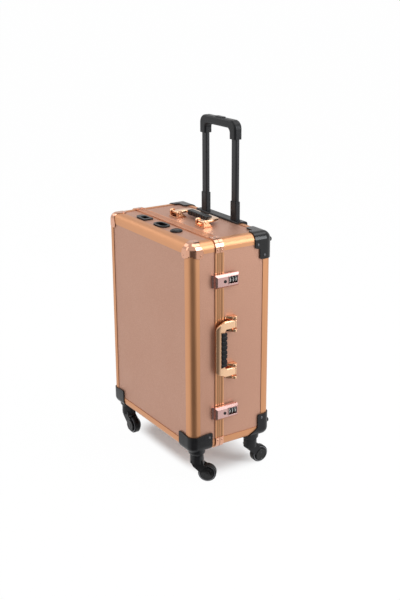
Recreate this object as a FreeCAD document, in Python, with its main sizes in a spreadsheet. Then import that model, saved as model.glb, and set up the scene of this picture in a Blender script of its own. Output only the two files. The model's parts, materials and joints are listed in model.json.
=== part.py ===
import FreeCAD, Part
import math
import os

import Sketcher
from FreeCAD import Placement, Rotation, Vector

# A rolling makeup train case: a lid and a body that close on a tongued frame, four swivel casters,
# two combination locks, two carry handles and a telescopic pull handle.
# Frame: +Z up, floor at z = 0, +X is the lock side, -X the hinge side, -Y the lid, +Y the back.

doc = FreeCAD.newDocument("makeup_train_case")
sheet = doc.addObject("Spreadsheet::Sheet", "dims")
nodes = {}


class Dim:
    """A length that keeps both its number and the sheet formula that it comes from."""

    def __init__(self, value, text):
        self.value = float(value)
        self.text = text

    def __add__(self, other):
        other = as_dim(other)
        return Dim(self.value + other.value, f"({self.text} + {other.text})")

    def __sub__(self, other):
        other = as_dim(other)
        return Dim(self.value - other.value, f"({self.text} - {other.text})")

    def __mul__(self, other):
        other = as_dim(other)
        return Dim(self.value * other.value, f"({self.text} * {other.text})")

    def __truediv__(self, other):
        other = as_dim(other)
        return Dim(self.value / other.value, f"({self.text} / {other.text})")

    def __neg__(self):
        return self * -1

    def __radd__(self, other):
        return as_dim(other) + self

    def __rsub__(self, other):
        return as_dim(other) - self

    __rmul__ = __mul__


def as_dim(number):
    return number if isinstance(number, Dim) else Dim(number, f"({number:g})")


def size(alias, value):
    """Writes one driving dimension to the sheet."""
    row = len(sheet.getUsedCells()) // 2 + 1
    sheet.set(f"A{row}", alias)
    sheet.set(f"B{row}", f"{value:g}")
    sheet.setAlias(f"B{row}", alias)
    return Dim(value, f"dims.{alias}")


def bind(thing, prop, length):
    thing.setExpression(prop, as_dim(length).text)


def move(thing, x, y, z, turn=None):
    """Gives an object its place, bound to the sheet, and its turn."""
    if turn:
        thing.Placement = Placement(Vector(0, 0, 0), turn)
    for axis, length in zip("xyz", (x, y, z)):
        bind(thing, f"Placement.Base.{axis}", length)


# Outlines and features

def rect(u_low, u_high, v_low, v_high, radius=None):
    """Corners of a rectangle, rounded where a radius is given."""
    corners = [(u_low, v_low), (u_high, v_low), (u_high, v_high), (u_low, v_high)]
    return [corner + (radius,) for corner in corners] if radius else corners


def slot(u, v, half_length, radius):
    """An outline with two straight sides and two round ends."""
    return rect(u - half_length, u + half_length, v - radius, v + radius, radius * 0.999)


class Disc:
    def __init__(self, u, v, radius):
        self.u, self.v, self.radius = as_dim(u), as_dim(v), as_dim(radius)


def fix(sketch, kind, ids, length):
    """Adds one measured constraint and binds it to the sheet."""
    index = sketch.addConstraint(Sketcher.Constraint(kind, *ids, length.value))
    bind(sketch, f"Constraints[{index}]", length)


def draw(sketch, shape):
    if isinstance(shape, Disc):
        circle = Part.Circle(Vector(shape.u.value, shape.v.value, 0), Vector(0, 0, 1), shape.radius.value)
        geo = sketch.addGeometry(circle, False)
        fix(sketch, "Radius", (geo,), shape.radius)
        fix(sketch, "DistanceX", (geo, 3), shape.u)
        fix(sketch, "DistanceY", (geo, 3), shape.v)
        return
    corners = [tuple(as_dim(number) for number in corner) for corner in shape]
    places = [Vector(corner[0].value, corner[1].value, 0) for corner in corners]
    count = len(corners)
    arrive, leave, arcs = [], [], {}
    for i, corner in enumerate(corners):
        to_last = (places[i - 1] - places[i]).normalize()
        to_next = (places[(i + 1) % count] - places[i]).normalize()
        if len(corner) == 2:
            arrive.append(places[i])
            leave.append(places[i])
            continue
        half = to_last.getAngle(to_next) / 2
        radius = corner[2].value
        arrive.append(places[i] + to_last * (radius / math.tan(half)))
        leave.append(places[i] + to_next * (radius / math.tan(half)))
        centre = places[i] + (to_last + to_next).normalize() * (radius / math.sin(half))
        left_turn = (-to_last).cross(to_next).z > 0
        first, last = (arrive[i], leave[i]) if left_turn else (leave[i], arrive[i])
        angles = [math.atan2(p.y - centre.y, p.x - centre.x) for p in (first, last)]
        circle = Part.Circle(centre, Vector(0, 0, 1), radius)
        arcs[i] = (Part.ArcOfCircle(circle, *angles), left_turn)
    lines = [
        sketch.addGeometry(Part.LineSegment(leave[i], arrive[(i + 1) % count]), False)
        for i in range(count)
    ]
    for i, corner in enumerate(corners):
        before, after = lines[i - 1], lines[i]
        if i not in arcs:
            sketch.addConstraint(Sketcher.Constraint("Coincident", before, 2, after, 1))
            anchor = (after, 1)
        else:
            geometry, left_turn = arcs[i]
            arc = sketch.addGeometry(geometry, False)
            tip = sketch.addGeometry(Part.Point(places[i]), True)
            start, end = (1, 2) if left_turn else (2, 1)
            sketch.addConstraint([
                Sketcher.Constraint("Tangent", before, 2, arc, start),
                Sketcher.Constraint("Tangent", arc, end, after, 1),
                Sketcher.Constraint("PointOnObject", tip, 1, before),
                Sketcher.Constraint("PointOnObject", tip, 1, after),
            ])
            fix(sketch, "Radius", (arc,), corner[2])
            anchor = (tip, 1)
        fix(sketch, "DistanceX", anchor, corner[0])
        fix(sketch, "DistanceY", anchor, corner[1])


def new_body(name):
    return doc.addObject("PartDesign::Body", name)


def sketch_on(body, plane, level, shapes, origin=(0, 0)):
    """A sketch on a plane of the body, moved to a level along that plane's axis."""
    sketch = body.newObject("Sketcher::SketchObject", body.Name + "_sketch")
    support = next(f for f in body.Origin.OriginFeatures if f.Role == plane + "_Plane")
    sketch.AttachmentSupport = [(support, "")]
    sketch.MapMode = "FlatFace"
    level = as_dim(level)
    bind(sketch, "AttachmentOffset.Base.x", origin[0])
    bind(sketch, "AttachmentOffset.Base.y", origin[1])
    bind(sketch, "AttachmentOffset.Base.z", -level if plane == "XZ" else level)
    for shape in shapes:
        draw(sketch, shape)
    return sketch


def pad(body, plane, low, high, *shapes):
    """Adds material from one level to another. The normal of the XZ plane points to -Y."""
    sketch = sketch_on(body, plane, high if plane == "XZ" else low, shapes)
    feature = body.newObject("PartDesign::Pad", body.Name + "_pad")
    feature.Profile = sketch
    bind(feature, "Length", as_dim(high) - low)


def pocket(body, plane, low, high, *shapes):
    """Takes material away between two levels."""
    sketch = sketch_on(body, plane, low if plane == "XZ" else high, shapes)
    feature = body.newObject("PartDesign::Pocket", body.Name + "_pocket")
    feature.Profile = sketch
    bind(feature, "Length", as_dim(high) - low)


def revolve(body, plane, level, origin, shape):
    """Turns an outline about the sketch's own vertical axis, set at the origin given."""
    sketch = sketch_on(body, plane, level, [shape], origin)
    feature = body.newObject("PartDesign::Revolution", body.Name + "_turned")
    feature.Profile = sketch
    feature.ReferenceAxis = (sketch, ["V_Axis"])
    feature.Angle = 360


def round_edges(body, kind, radius, wanted):
    """Fillets or chamfers the edges of the body's last feature that wanted() picks."""
    doc.recompute()
    base = body.Tip
    names = [f"Edge{i}" for i, edge in enumerate(base.Shape.Edges, 1) if wanted(edge)]
    feature = body.newObject(f"PartDesign::{kind}", body.Name + "_edge")
    feature.Base = (base, names)
    bind(feature, "Radius" if kind == "Fillet" else "Size", radius)


def on_levels(axis, *levels):
    """Picks the edges that lie wholly on one of some levels along an axis."""
    def wanted(edge):
        places = [getattr(vertex, axis) for vertex in edge.Vertexes]
        return any(all(abs(place - level.value) < 0.001 for place in places) for level in levels)
    return wanted


def box(name, x, y, z):
    """A plain board between two places on each axis."""
    thing = doc.addObject("Part::Box", name)
    for prop, (low, high) in zip(("Length", "Width", "Height"), (x, y, z)):
        bind(thing, prop, as_dim(high) - low)
    move(thing, x[0], y[0], z[0])
    return thing


AXIS_TURN = {
    "X": Rotation(Vector(0, 1, 0), 90),
    "Y": Rotation(Vector(1, 0, 0), -90),
    "Z": Rotation(),
}


def rod(name, axis, radius, low, high, place):
    """A round bar along an axis from one level to another; place holds its other two coordinates."""
    thing = doc.addObject("Part::Cylinder", name)
    bind(thing, "Radius", radius)
    bind(thing, "Height", as_dim(high) - low)
    spot = list(place)
    spot.insert("XYZ".index(axis), low)
    move(thing, *spot, AXIS_TURN[axis])
    return thing


def combine(kind, name, base, tool):
    thing = doc.addObject(f"Part::{kind}", name)
    thing.Base = base
    thing.Tool = tool
    return thing


def node(label, *things):
    """Names one sub-part. Several solids of one sub-part are kept as a group."""
    thing = things[0]
    if len(things) > 1:
        thing = doc.addObject("Part::Compound", label)
        thing.Links = list(things)
    thing.Label = label
    nodes[label] = thing
    return thing


# Driving dimensions, in millimetres

case_width = size("case_width", 420)
case_depth = size("case_depth", 245)
case_height = size("case_height", 560)
floor_gap = size("floor_gap", 90)
lid_depth = size("lid_depth", 85)
split_gap = size("split_gap", 0.6)

edge_leg = size("edge_leg", 27)
edge_radius = size("edge_radius", 18)
lip = size("lip_thickness", 1.5)
board = size("board_thickness", 6)
board_inset = size("board_inset", 18)
flange = size("flange_thickness", 1.2)
flange_reach = size("flange_reach", 24)

frame_proud = size("frame_proud", 2)
frame_strip = size("frame_strip", 12.5)
lid_web = size("lid_web", 9.4)
body_web = size("body_web", 6.6)
tongue_reach = size("tongue_reach", 7)
tongue_thick = size("tongue_thickness", 1.9)
tongue_gap = size("tongue_gap", 0.5)
groove_wide = size("groove_width", 2.4)
groove_deep = size("groove_depth", 0.8)
clip_wall = size("clip_wall", 1.4)
clip_leg = size("clip_leg", 30)
clip_wide = size("clip_width", 12)

cap_wall = size("cap_wall", 1.4)
cap_edge = size("cap_edge", 30)
cap_wing = size("cap_wing", 38)
guard_wall = size("guard_wall", 3)
guard_drop = size("guard_drop", 67)
guard_side = size("guard_side", 38)
guard_step = size("guard_step", 53)
guard_top = size("guard_top", 63)
wing_front = size("wing_front", 59)
wing_side = size("wing_side", 63)
wing_tall = size("wing_height", 48)
wing_waist = size("wing_waist", 36)
rear_tall = size("rear_bracket_height", 62)
rear_wide = size("rear_bracket_width", 38)
rear_skirt = size("rear_bracket_skirt", 60)
foot_radius = size("foot_radius", 8)
foot_reach = size("foot_reach", 15)
foot_inset = size("foot_inset", 26)

swivel_side = size("swivel_side_inset", 25)
swivel_front = size("swivel_front_inset", 31)
swivel_rear = size("swivel_rear_inset", 43)
boss_radius = size("boss_radius", 22)
boss_drop = size("boss_drop", 14)
wheel_radius = size("wheel_radius", 24)
wheel_wide = size("wheel_width", 18)
wheel_trail = size("wheel_trail", 28)
tread_bevel = size("tread_bevel", 2.5)
fork_wall = size("fork_wall", 3)
hub_radius = size("hub_radius", 17)
axle_radius = size("axle_radius", 3)
kingpin_radius = size("kingpin_radius", 4)
run_gap = size("running_gap", 0.05)
clear_gap = size("clear_gap", 0.3)

lock_long = size("lock_length", 69)
lock_tall = size("lock_height", 35)
lock_over_lid = size("lock_over_lid", 19.4)
lock_proud = size("lock_proud", 17)
lock_skirt = size("lock_skirt", 4)
lock_bevel = size("lock_bevel", 4)
lock_from_end = size("lock_from_end", 102)
lock_pin = size("lock_pin_radius", 1.5)
dial_radius = size("dial_radius", 8.5)
dial_pitch = size("dial_pitch", 8.5)
dial_wide = size("dial_width", 7.8)
button_radius = size("lock_button_radius", 4)
button_proud = size("lock_button_proud", 1.5)

handle_span = size("handle_span", 128)
handle_reach = size("handle_reach", 37)
bail_arm = size("bail_arm_width", 22)
bail_bar = size("bail_bar_width", 16)
bail_thick = size("bail_thickness", 7)
bail_pivot = size("bail_pivot_height", 13)
bail_bevel = size("bail_bevel", 1.5)
bail_pin = size("bail_pin_radius", 2.5)
ear_apart = size("ear_spacing", 34)
ear_thick = size("ear_thickness", 7)
ear_radius = size("ear_radius", 7)
grip_long = size("grip_length", 96)
grip_wide = size("grip_width", 18)
grip_short = size("grip_short_of_bar", 3)
grip_thick = size("grip_thickness", 14)
grip_round = size("grip_round", 3)
side_handle_drop = size("side_handle_drop", 4)
side_handle_back = size("side_handle_from_split", 38.6)
top_handle_back = size("top_handle_from_split", 42.6)

tube_apart = size("tube_spacing", 140)
tube_wide = size("inner_tube_width", 22.4)
tube_deep = size("inner_tube_depth", 12.4)
inner_wall = size("inner_tube_wall", 1.2)
middle_wall = size("middle_tube_wall", 1.5)
outer_wall = size("outer_tube_wall", 1.4)
middle_up = size("middle_extension", 53)
middle_long = size("middle_tube_length", 240)
inner_up = size("inner_extension", 163)
tube_overlap = size("tube_overlap", 40)
outer_long = size("outer_tube_length", 240)
pull_tall = size("pull_grip_height", 48)
pull_deep = size("pull_grip_depth", 24)
pull_bar = size("pull_grip_bar", 22)
pull_leg = size("pull_grip_leg", 27)
pull_round = size("pull_grip_round", 6)
housing_half = size("housing_half_length", 100)
housing_front = size("housing_front_lip", 3)
housing_thick = size("housing_thickness", 3.5)

hinge_axis = size("hinge_axis_out", 6.5)
hinge_radius = size("hinge_radius", 4)
hinge_pin = size("hinge_pin_radius", 1.5)
hinge_long = size("hinge_length", 60)
hinge_leaf = size("hinge_leaf_thickness", 1.4)
hinge_from_end = size("hinge_from_end", 95)

fitting_back = size("fitting_from_front", 47)
inlet_left = size("inlet_left", 92)
socket_left = size("socket_left", 3)
port_right = size("port_right", 70)
lining = size("lining_thickness", 2)
mirror_back = size("mirror_board_from_split", 60)
mirror_wide = size("mirror_width", 260)
mirror_tall = size("mirror_height", 410)
mirror_thick = size("mirror_thickness", 4)
strip_wide = size("light_strip_width", 26)
strip_thick = size("light_strip_thickness", 14)
divider = size("divider_thickness", 4)

doc.recompute()

# Places worked out from the driving dimensions.
# The middle of the case is set so that the whole object stays centred on the origin.

hinge_out = hinge_axis + hinge_radius
x_mid = (hinge_out - lock_proud - button_proud) / 2
y_mid = (guard_wall - foot_reach) / 2
x_left = x_mid - case_width / 2
x_right = x_mid + case_width / 2
y_front = y_mid - case_depth / 2
y_back = y_mid + case_depth / 2
y_split = y_front + lid_depth
z_base = floor_gap
z_top = floor_gap + case_height
z_mid = floor_gap + case_height / 2
skin = lip + board
liner = skin + tongue_thick + lining

FACE = {("x", 1): x_right, ("x", -1): x_left, ("y", 1): y_back, ("y", -1): y_front,
        ("z", 1): z_top, ("z", -1): z_base}
SIDES = (-1, 1)


def inward(axis, sign, distance):
    """A coordinate at a distance inside one face of the case."""
    return FACE[axis, sign] - as_dim(distance) * sign


def span(axis, sign, near, far):
    """Two coordinates at distances inside one face, in rising order."""
    ends = (inward(axis, sign, near), inward(axis, sign, far))
    return ends if sign < 0 else ends[::-1]


# Boards

def wall_boards(half, y_low, y_high, top_y_high):
    """The four side boards of the lid or the body."""
    boards = []
    for sign, name in ((-1, "left"), (1, "right")):
        boards.append(box(f"{half}_{name}_board", span("x", sign, lip, skin), (y_low, y_high),
                          (z_base + board_inset, z_top - board_inset)))
    for sign, name, end in ((-1, "bottom", y_high), (1, "top", top_y_high)):
        boards.append(box(f"{half}_{name}_board", (x_left + board_inset, x_right - board_inset),
                          (y_low, end), span("z", sign, lip, skin)))
    return boards


face_x = (x_left + board_inset, x_right - board_inset)
face_z = (z_base + board_inset, z_top - board_inset)
node("lid_front_panel", box("lid_front_board", face_x, span("y", -1, lip, skin), face_z))
node("body_back_panel", box("body_back_board", face_x, span("y", 1, lip, skin), face_z))

fit_gap = clear_gap
middle_wide = tube_wide + (fit_gap + middle_wall) * 2
middle_deep = tube_deep + (fit_gap + middle_wall) * 2
outer_wide = middle_wide + (fit_gap + outer_wall) * 2
outer_deep = middle_deep + (fit_gap + outer_wall) * 2
tube_y = y_back - skin - outer_deep / 2
top_board_end = tube_y - middle_deep / 2 - fit_gap * 2

lid_boards = wall_boards("lid", y_front + board_inset, y_split - lid_web, y_split - lid_web)
body_boards = wall_boards("body", y_split + body_web, y_back - board_inset, top_board_end)
node("body_wall_panels", *body_boards)


# Edge profiles: a rounded angle whose grooves hold the edges of two boards

def edge_section(u_axis, u_sign, v_axis, v_sign):
    inner = skin + flange
    steps = [
        (edge_leg, 0), (0, 0, edge_radius), (0, edge_leg), (lip, edge_leg), (lip, board_inset),
        (skin, board_inset), (skin, flange_reach), (inner, flange_reach), (inner, inner),
        (flange_reach, inner), (flange_reach, skin), (board_inset, skin), (board_inset, lip),
        (edge_leg, lip),
    ]
    return [(inward(u_axis, u_sign, a), inward(v_axis, v_sign, b), *r) for a, b, *r in steps]


def edge_stick(name, plane, ends, u_sign, v_sign):
    axes = plane.lower()
    body = new_body(name)
    pad(body, plane, *ends, edge_section(axes[0], u_sign, axes[1], v_sign))
    return body


def edge_profiles(half, face_sign, y_ends):
    """The eight edge profiles of the lid or the body; those of the back leave room for the pull handle."""
    sticks = []
    for sign in SIDES:
        post = (z_base + edge_leg, z_top - edge_leg)
        sticks.append(edge_stick(f"{half}_post", "XY", post, sign, face_sign))
        ends = (x_left + edge_leg, x_right - edge_leg)
        runs = [ends]
        if (half, sign) == ("body", 1):
            runs = [(ends[0], x_mid - housing_half), (x_mid + housing_half, ends[1])]
        for run in runs:
            sticks.append(edge_stick(f"{half}_rail", "YZ", run, face_sign, sign))
        for level in SIDES:
            sticks.append(edge_stick(f"{half}_edge", "XZ", y_ends, sign, level))
    return sticks


node("lid_edge_profiles", *edge_profiles("lid", -1, (y_front + edge_leg, y_split - frame_strip)))
node("body_edge_profiles", *edge_profiles("body", 1, (y_split + frame_strip, y_back - edge_leg)))


# Closing frame: two bent extrusions, the body half with a tongue that enters the lid half

def ring(out):
    """The outline of the case, grown by a distance."""
    return rect(x_left - out, x_right + out, z_base - out, z_top + out, edge_radius + out)


def closing_frame(label, side, web, inner_near, web_inner):
    """side is -1 for the lid and +1 for the body; distances run from the split into that half."""
    def levels(near, far):
        ends = (y_split + as_dim(near) * side, y_split + as_dim(far) * side)
        return ends if side > 0 else ends[::-1]

    near = split_gap / 2
    body = new_body(label)
    pad(body, "XZ", *levels(near, frame_strip), ring(frame_proud), ring(-lip))
    pad(body, "XZ", *levels(near, web), ring(-lip), ring(-web_inner))
    pad(body, "XZ", *levels(inner_near, web), ring(-web_inner), ring(-skin - tongue_thick))
    pad(body, "XZ", *levels(web, frame_strip), ring(-skin), ring(-skin - tongue_thick))
    for step in (0.26, 0.72):
        middle = near + (frame_strip - near) * step
        edges = levels(middle - groove_wide / 2, middle + groove_wide / 2)
        pocket(body, "XZ", *edges, ring(frame_proud + 1), ring(frame_proud - groove_deep))
    return node(label, body)


closing_frame("body_frame", 1, body_web, split_gap / 2 - tongue_reach, skin)
closing_frame("lid_frame", -1, lid_web, tongue_reach + tongue_gap, skin - tongue_gap)


def frame_clips(half, side):
    """Polished clips that cover the bends of the frame at the four corners."""
    ends = sorted((y_split + split_gap * side, y_split + clip_wide * side), key=lambda d: d.value)
    high = frame_proud + clip_wall
    band = [(-clip_leg, high), (high, high, edge_radius + high), (high, -clip_leg),
            (frame_proud, -clip_leg), (frame_proud, frame_proud, edge_radius + frame_proud),
            (-clip_leg, frame_proud)]
    clips = []
    for x_sign in SIDES:
        for z_sign in SIDES:
            body = new_body(f"{half}_clip")
            pad(body, "XZ", *ends, [
                (FACE["x", x_sign] + as_dim(a) * x_sign, FACE["z", z_sign] + as_dim(b) * z_sign, *r)
                for a, b, *r in band
            ])
            clips.append(body)
    return clips


node("lid_frame_clips", *frame_clips("lid", -1))
node("body_frame_clips", *frame_clips("body", 1))


# Corner pieces: a thin shell round one corner of the case, trimmed to an outline on each face

def corner_block(name, signs, grow, reach):
    body = new_body(name)
    ends = [span(axis, sign, -grow, reach) for axis, sign in zip("xyz", signs)]
    pad(body, "XY", *ends[2], rect(*ends[0], *ends[1]))
    corner = Vector(*(inward(axis, sign, -grow).value for axis, sign in zip("xyz", signs)))

    def at_corner(edge):
        return any(vertex.Point.distanceToPoint(corner) < 0.001 for vertex in edge.Vertexes)

    round_edges(body, "Fillet", edge_radius + grow, at_corner)
    return body


def corner_piece(name, signs, wall, reach, outlines):
    """outlines maps a plane to corners given as distances inside its two case faces."""
    outer = corner_block(name + "_outer", signs, wall, reach)
    inner = corner_block(name + "_inner", signs, as_dim(0), reach + wall)
    thing = combine("Cut", name + "_shell", outer, inner)
    sign_of = dict(zip("xyz", signs))
    for plane, corners in outlines.items():
        u_axis, v_axis = plane.lower()
        depth_axis = next(axis for axis in "xyz" if axis not in plane.lower())
        trim = new_body(f"{name}_{plane}_trim")
        ends = span(depth_axis, sign_of[depth_axis], -(wall + 1), reach + wall)
        pad(trim, plane, *ends, [
            (inward(u_axis, sign_of[u_axis], a), inward(v_axis, sign_of[v_axis], b), *r)
            for a, b, *r in corners
        ])
        thing = combine("Common", name + "_trimmed", thing, trim)
    return thing


# An outline leaves the strip outside its neighbour faces free, so each face keeps its own outline.
FREE = 0.5


def ball_corner(side):
    far = cap_wing + 3
    wing = [(-3, -3), (-3, far), (FREE, far), (FREE, cap_edge), (cap_edge - 6, cap_wing, 4),
            (cap_wing, cap_wing, 8), (cap_wing, cap_edge - 6, 4), (cap_edge, FREE), (far, FREE), (far, -3)]
    outlines = {plane: wing for plane in ("XY", "XZ", "YZ")}
    return corner_piece(f"ball_corner_{side}", (side, -1, 1), cap_wall, cap_wing + 2, outlines)


def corner_guard(side):
    out = -guard_wall - 1
    low_step = guard_step - 15
    outlines = {
        "YZ": [(out, out), (out, guard_drop), (guard_side, guard_drop, 5), (guard_side, low_step, 4),
               (guard_step, low_step, 6), (guard_step, out)],
        "XZ": [(out, out), (out, guard_drop), (guard_side, guard_drop, 5), (guard_side, low_step, 4),
               (guard_top, low_step, 6), (guard_top, out)],
        "XY": [(out, out), (out, guard_step), (guard_top / 2, guard_step, 6), (guard_top / 2, guard_side, 4),
               (guard_top, guard_side, 6), (guard_top, out)],
    }
    return corner_piece(f"corner_guard_{side}", (side, 1, 1), guard_wall, guard_drop + 2, outlines)


node("lid_corner_caps", *[ball_corner(side) for side in SIDES])
node("rear_corner_guards", *[corner_guard(side) for side in SIDES])

swivel_x = {side: inward("x", side, swivel_side) for side in SIDES}
swivel_y = {-1: inward("y", -1, swivel_front), 1: inward("y", 1, swivel_rear)}
boss_bottom = z_base - boss_drop


def caster_bracket(name, side, face, outlines, reach):
    """A corner shell that runs down into the turned boss that the caster swivels in."""
    signs = (side, face, -1)
    shell = corner_piece(name, signs, guard_wall, reach, outlines)
    bore = kingpin_radius + run_gap
    spot = (swivel_x[side], swivel_y[face])
    hole = rod(name + "_hole", "Z", bore, z_base - guard_wall - 1, z_base + 1, spot)
    boss = new_body(name + "_boss")
    top = z_base + edge_radius
    revolve(boss, "XZ", spot[1], (spot[0], as_dim(0)), [
        (bore, boss_bottom), (boss_radius - 4, boss_bottom), (boss_radius, boss_bottom + 5),
        (boss_radius + 4, top), (bore, top),
    ])
    core = corner_block(name + "_core", signs, guard_wall / 2, reach + boss_radius)
    foot = combine("Cut", name + "_foot", boss, core)
    return combine("Fuse", name + "_whole", combine("Cut", name + "_drilled", shell, hole), foot)


def front_bracket(side):
    out = -guard_wall - 1

    def wing(reach):
        return [(out, out), (out, wing_tall + 3), (FREE, wing_tall + 3), (FREE, wing_waist),
                (edge_radius, wing_waist, 24), (reach - 18, wing_tall, 12), (reach, wing_tall, 8),
                (reach, 6, 7), (reach - 11, out)]

    outlines = {"XZ": wing(wing_front), "YZ": wing(wing_side)}
    return caster_bracket(f"front_bracket_{side}", side, -1, outlines, wing_side + 4)


def rear_bracket(side):
    out = -guard_wall - 1

    def step(skirt):
        return [(out, out), (out, rear_tall), (rear_wide, rear_tall, 5), (rear_wide, 24, 10), (skirt, 8, 8),
                (skirt + 4, out)]

    outlines = {"XZ": step(rear_skirt - 8), "YZ": step(rear_skirt)}
    return caster_bracket(f"rear_bracket_{side}", side, 1, outlines, rear_skirt + 8)


node("front_caster_brackets", *[front_bracket(side) for side in SIDES])
node("rear_caster_brackets", *[rear_bracket(side) for side in SIDES])


def rear_foot(side, level):
    """A tapered rubber stud that keeps the case off the floor when it lies on its back."""
    body = new_body("rear_foot")
    start = y_back + guard_wall
    end = y_back + foot_reach
    revolve(body, "XY", inward("z", level, foot_inset), (inward("x", side, foot_inset), as_dim(0)), [
        (0, start), (foot_radius, start), (foot_radius, start + 4), (foot_radius - 2, end - 1),
        (foot_radius - 3, end), (0, end),
    ])
    return body


node("rear_feet", *[rear_foot(side, level) for side in SIDES for level in SIDES])


# Casters, modelled about their swivel axis with the wheel trailing along local +X

fork_in = wheel_wide / 2 + 1
fork_out = fork_in + fork_wall
head_top = boss_bottom - clear_gap
head_radius = boss_radius - 4
HEADING = {(1, -1): 50, (-1, -1): 2, (1, 1): 88, (-1, 1): 60}
CORNER = {(1, -1): "front_right", (-1, -1): "front_left", (1, 1): "rear_right", (-1, 1): "rear_left"}


def place_caster(thing, corner):
    move(thing, swivel_x[corner[0]], swivel_y[corner[1]], 0, Rotation(Vector(0, 0, 1), HEADING[corner]))


def caster_fork(corner):
    name = CORNER[corner] + "_fork"
    crown = wheel_radius * 2 + 4
    body = new_body(name + "_yoke")
    pad(body, "XY", crown, head_top, Disc(0, 0, head_radius))
    arm = [(-head_radius + 2, crown + 9, 3), (head_radius - 1, crown + 9, 2), (head_radius, crown - 2, 6),
           (wheel_trail + 6, wheel_radius + hub_radius - 2, 4), (wheel_trail + 8, wheel_radius),
           (wheel_trail - hub_radius + 2, wheel_radius), (-head_radius + 9, crown - 8, 8)]
    pad(body, "XZ", -fork_out, fork_out, arm)
    pocket(body, "XZ", -fork_in, fork_in, Disc(wheel_trail, wheel_radius, wheel_radius + 2))
    hub = Disc(wheel_trail, wheel_radius, hub_radius)
    pad(body, "XZ", fork_in, fork_out, hub)
    pad(body, "XZ", -fork_out, -fork_in, hub)
    pocket(body, "XZ", -fork_out, fork_out, Disc(wheel_trail, wheel_radius, axle_radius))
    pocket(body, "XY", crown + 8, head_top, Disc(0, 0, kingpin_radius))
    axle = rod(name + "_axle", "Y", axle_radius, -fork_out, fork_out, (wheel_trail, wheel_radius))
    kingpin = rod(name + "_kingpin", "Z", kingpin_radius, crown + 8, z_base - 0.5, (0, 0))
    place_caster(node(name, body, axle, kingpin), corner)


def caster_wheel(corner):
    name = CORNER[corner] + "_wheel"
    half = wheel_wide / 2
    body = new_body(name)
    side = wheel_radius - tread_bevel
    revolve(body, "XY", wheel_radius, (wheel_trail, as_dim(0)), [
        (axle_radius + run_gap, -half), (side, -half), (wheel_radius, -half + tread_bevel),
        (wheel_radius, half - tread_bevel), (side, half), (axle_radius + run_gap, half),
    ])
    place_caster(node(name, body), corner)


for corner in CORNER:
    caster_fork(corner)
    caster_wheel(corner)


# Locks: a base on the body, a bevelled lever that swings out, three dials and a release button

lever_low = y_split - lock_over_lid
lever_high = lever_low + lock_long
lock_pivot_y = lever_high - 4
lock_pivot_x = x_right + lock_skirt + 2
lever_under = x_right + lock_skirt
lever_face = x_right + lock_proud
window = (lever_high - 32.5, lever_high - 6.5)
dial_x = lever_face - dial_radius + 1
dial_lift = 2
lock_button_y = lever_low + 26
LOCK_Z = {"upper": z_top - lock_from_end, "lower": z_base + lock_from_end}
EAR_AT = 12
EAR_HALF = 1.5


def lock_lever(name, z):
    half = lock_tall / 2
    body = new_body(name + "_cover")
    pad(body, "YZ", lever_under, lever_face, rect(lever_low, lever_high, z - half, z + half))

    round_edges(body, "Chamfer", lock_bevel, on_levels("X", lever_face))
    hollow = rect(lever_low + 3.5, window[0] - 3, z - half + 3, z + half - 3)
    pocket(body, "YZ", lever_under, lever_face - 4, hollow)
    dial_z = z + dial_lift
    room = dial_radius + 0.7
    pocket(body, "YZ", lever_under, lever_face, rect(*window, dial_z - room, dial_z + room))
    pocket(body, "XZ", window[0] - 2, window[1] + 2, Disc(dial_x, dial_z, lock_pin))
    pocket(body, "YZ", lever_face - 5, lever_face, Disc(lock_button_y, z, button_radius + run_gap))
    ear_room = EAR_HALF + clear_gap
    slots = [rect(lock_pivot_y - 4, lever_high + 1, z + at - ear_room, z + at + ear_room)
             for at in (-EAR_AT, EAR_AT)]
    pocket(body, "YZ", lever_under, lock_pivot_x + 4, *slots)
    pocket(body, "XY", z - half, z + half, Disc(lock_pivot_x, lock_pivot_y, lock_pin + run_gap))
    spindle = rod(name + "_spindle", "Y", lock_pin, window[0] - 2, window[1] + 2, (dial_x, dial_z))
    node(name, body, spindle)


def lock_base(name, z):
    low = x_right - lip
    high = x_right + 0.5
    body = new_body(name + "_plate")
    pad(body, "YZ", low, high, rect(y_split + frame_strip + 0.5, lever_high - 1, z - 15, z + 15, 2))
    for at in (-EAR_AT, EAR_AT):
        ear = rect(high - 1, lock_pivot_x + 3.2, lock_pivot_y - 3.2, lock_pivot_y + 3.2)
        ear[1] += (3,)
        ear[2] += (3,)
        pad(body, "XY", z + at - EAR_HALF, z + at + EAR_HALF, ear)
    pocket(body, "XY", z - 14, z + 14, Disc(lock_pivot_x, lock_pivot_y, lock_pin))
    pin = rod(name + "_pin", "Z", lock_pin, z - lock_tall / 2 + 1, z + lock_tall / 2 - 1,
              (lock_pivot_x, lock_pivot_y))
    node(name, body, pin)


def lock_dial(name, z, place):
    """A ten-sided number wheel."""
    middle = (window[0] + window[1]) / 2 + dial_pitch * place
    body = new_body(name)
    turns = [math.tau * (i + 0.5) / 10 for i in range(10)]
    drum = [(dial_x + dial_radius * math.cos(t), z + dial_lift + dial_radius * math.sin(t)) for t in turns]
    pad(body, "XZ", middle - dial_wide / 2, middle + dial_wide / 2, drum,
        Disc(dial_x, z + dial_lift, lock_pin + run_gap))
    node(name, body)


def lock_button(name, z):
    body = new_body(name)
    revolve(body, "XY", z, (as_dim(0), lock_button_y), [
        (lever_face - 4, 0), (lever_face + button_proud, 0),
        (lever_face + button_proud, button_radius - 0.6),
        (lever_face + button_proud - 0.6, button_radius), (lever_face - 4, button_radius),
    ])
    body.Group[-1].ReferenceAxis = (body.Group[-2], ["H_Axis"])
    node(name, body)


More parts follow.
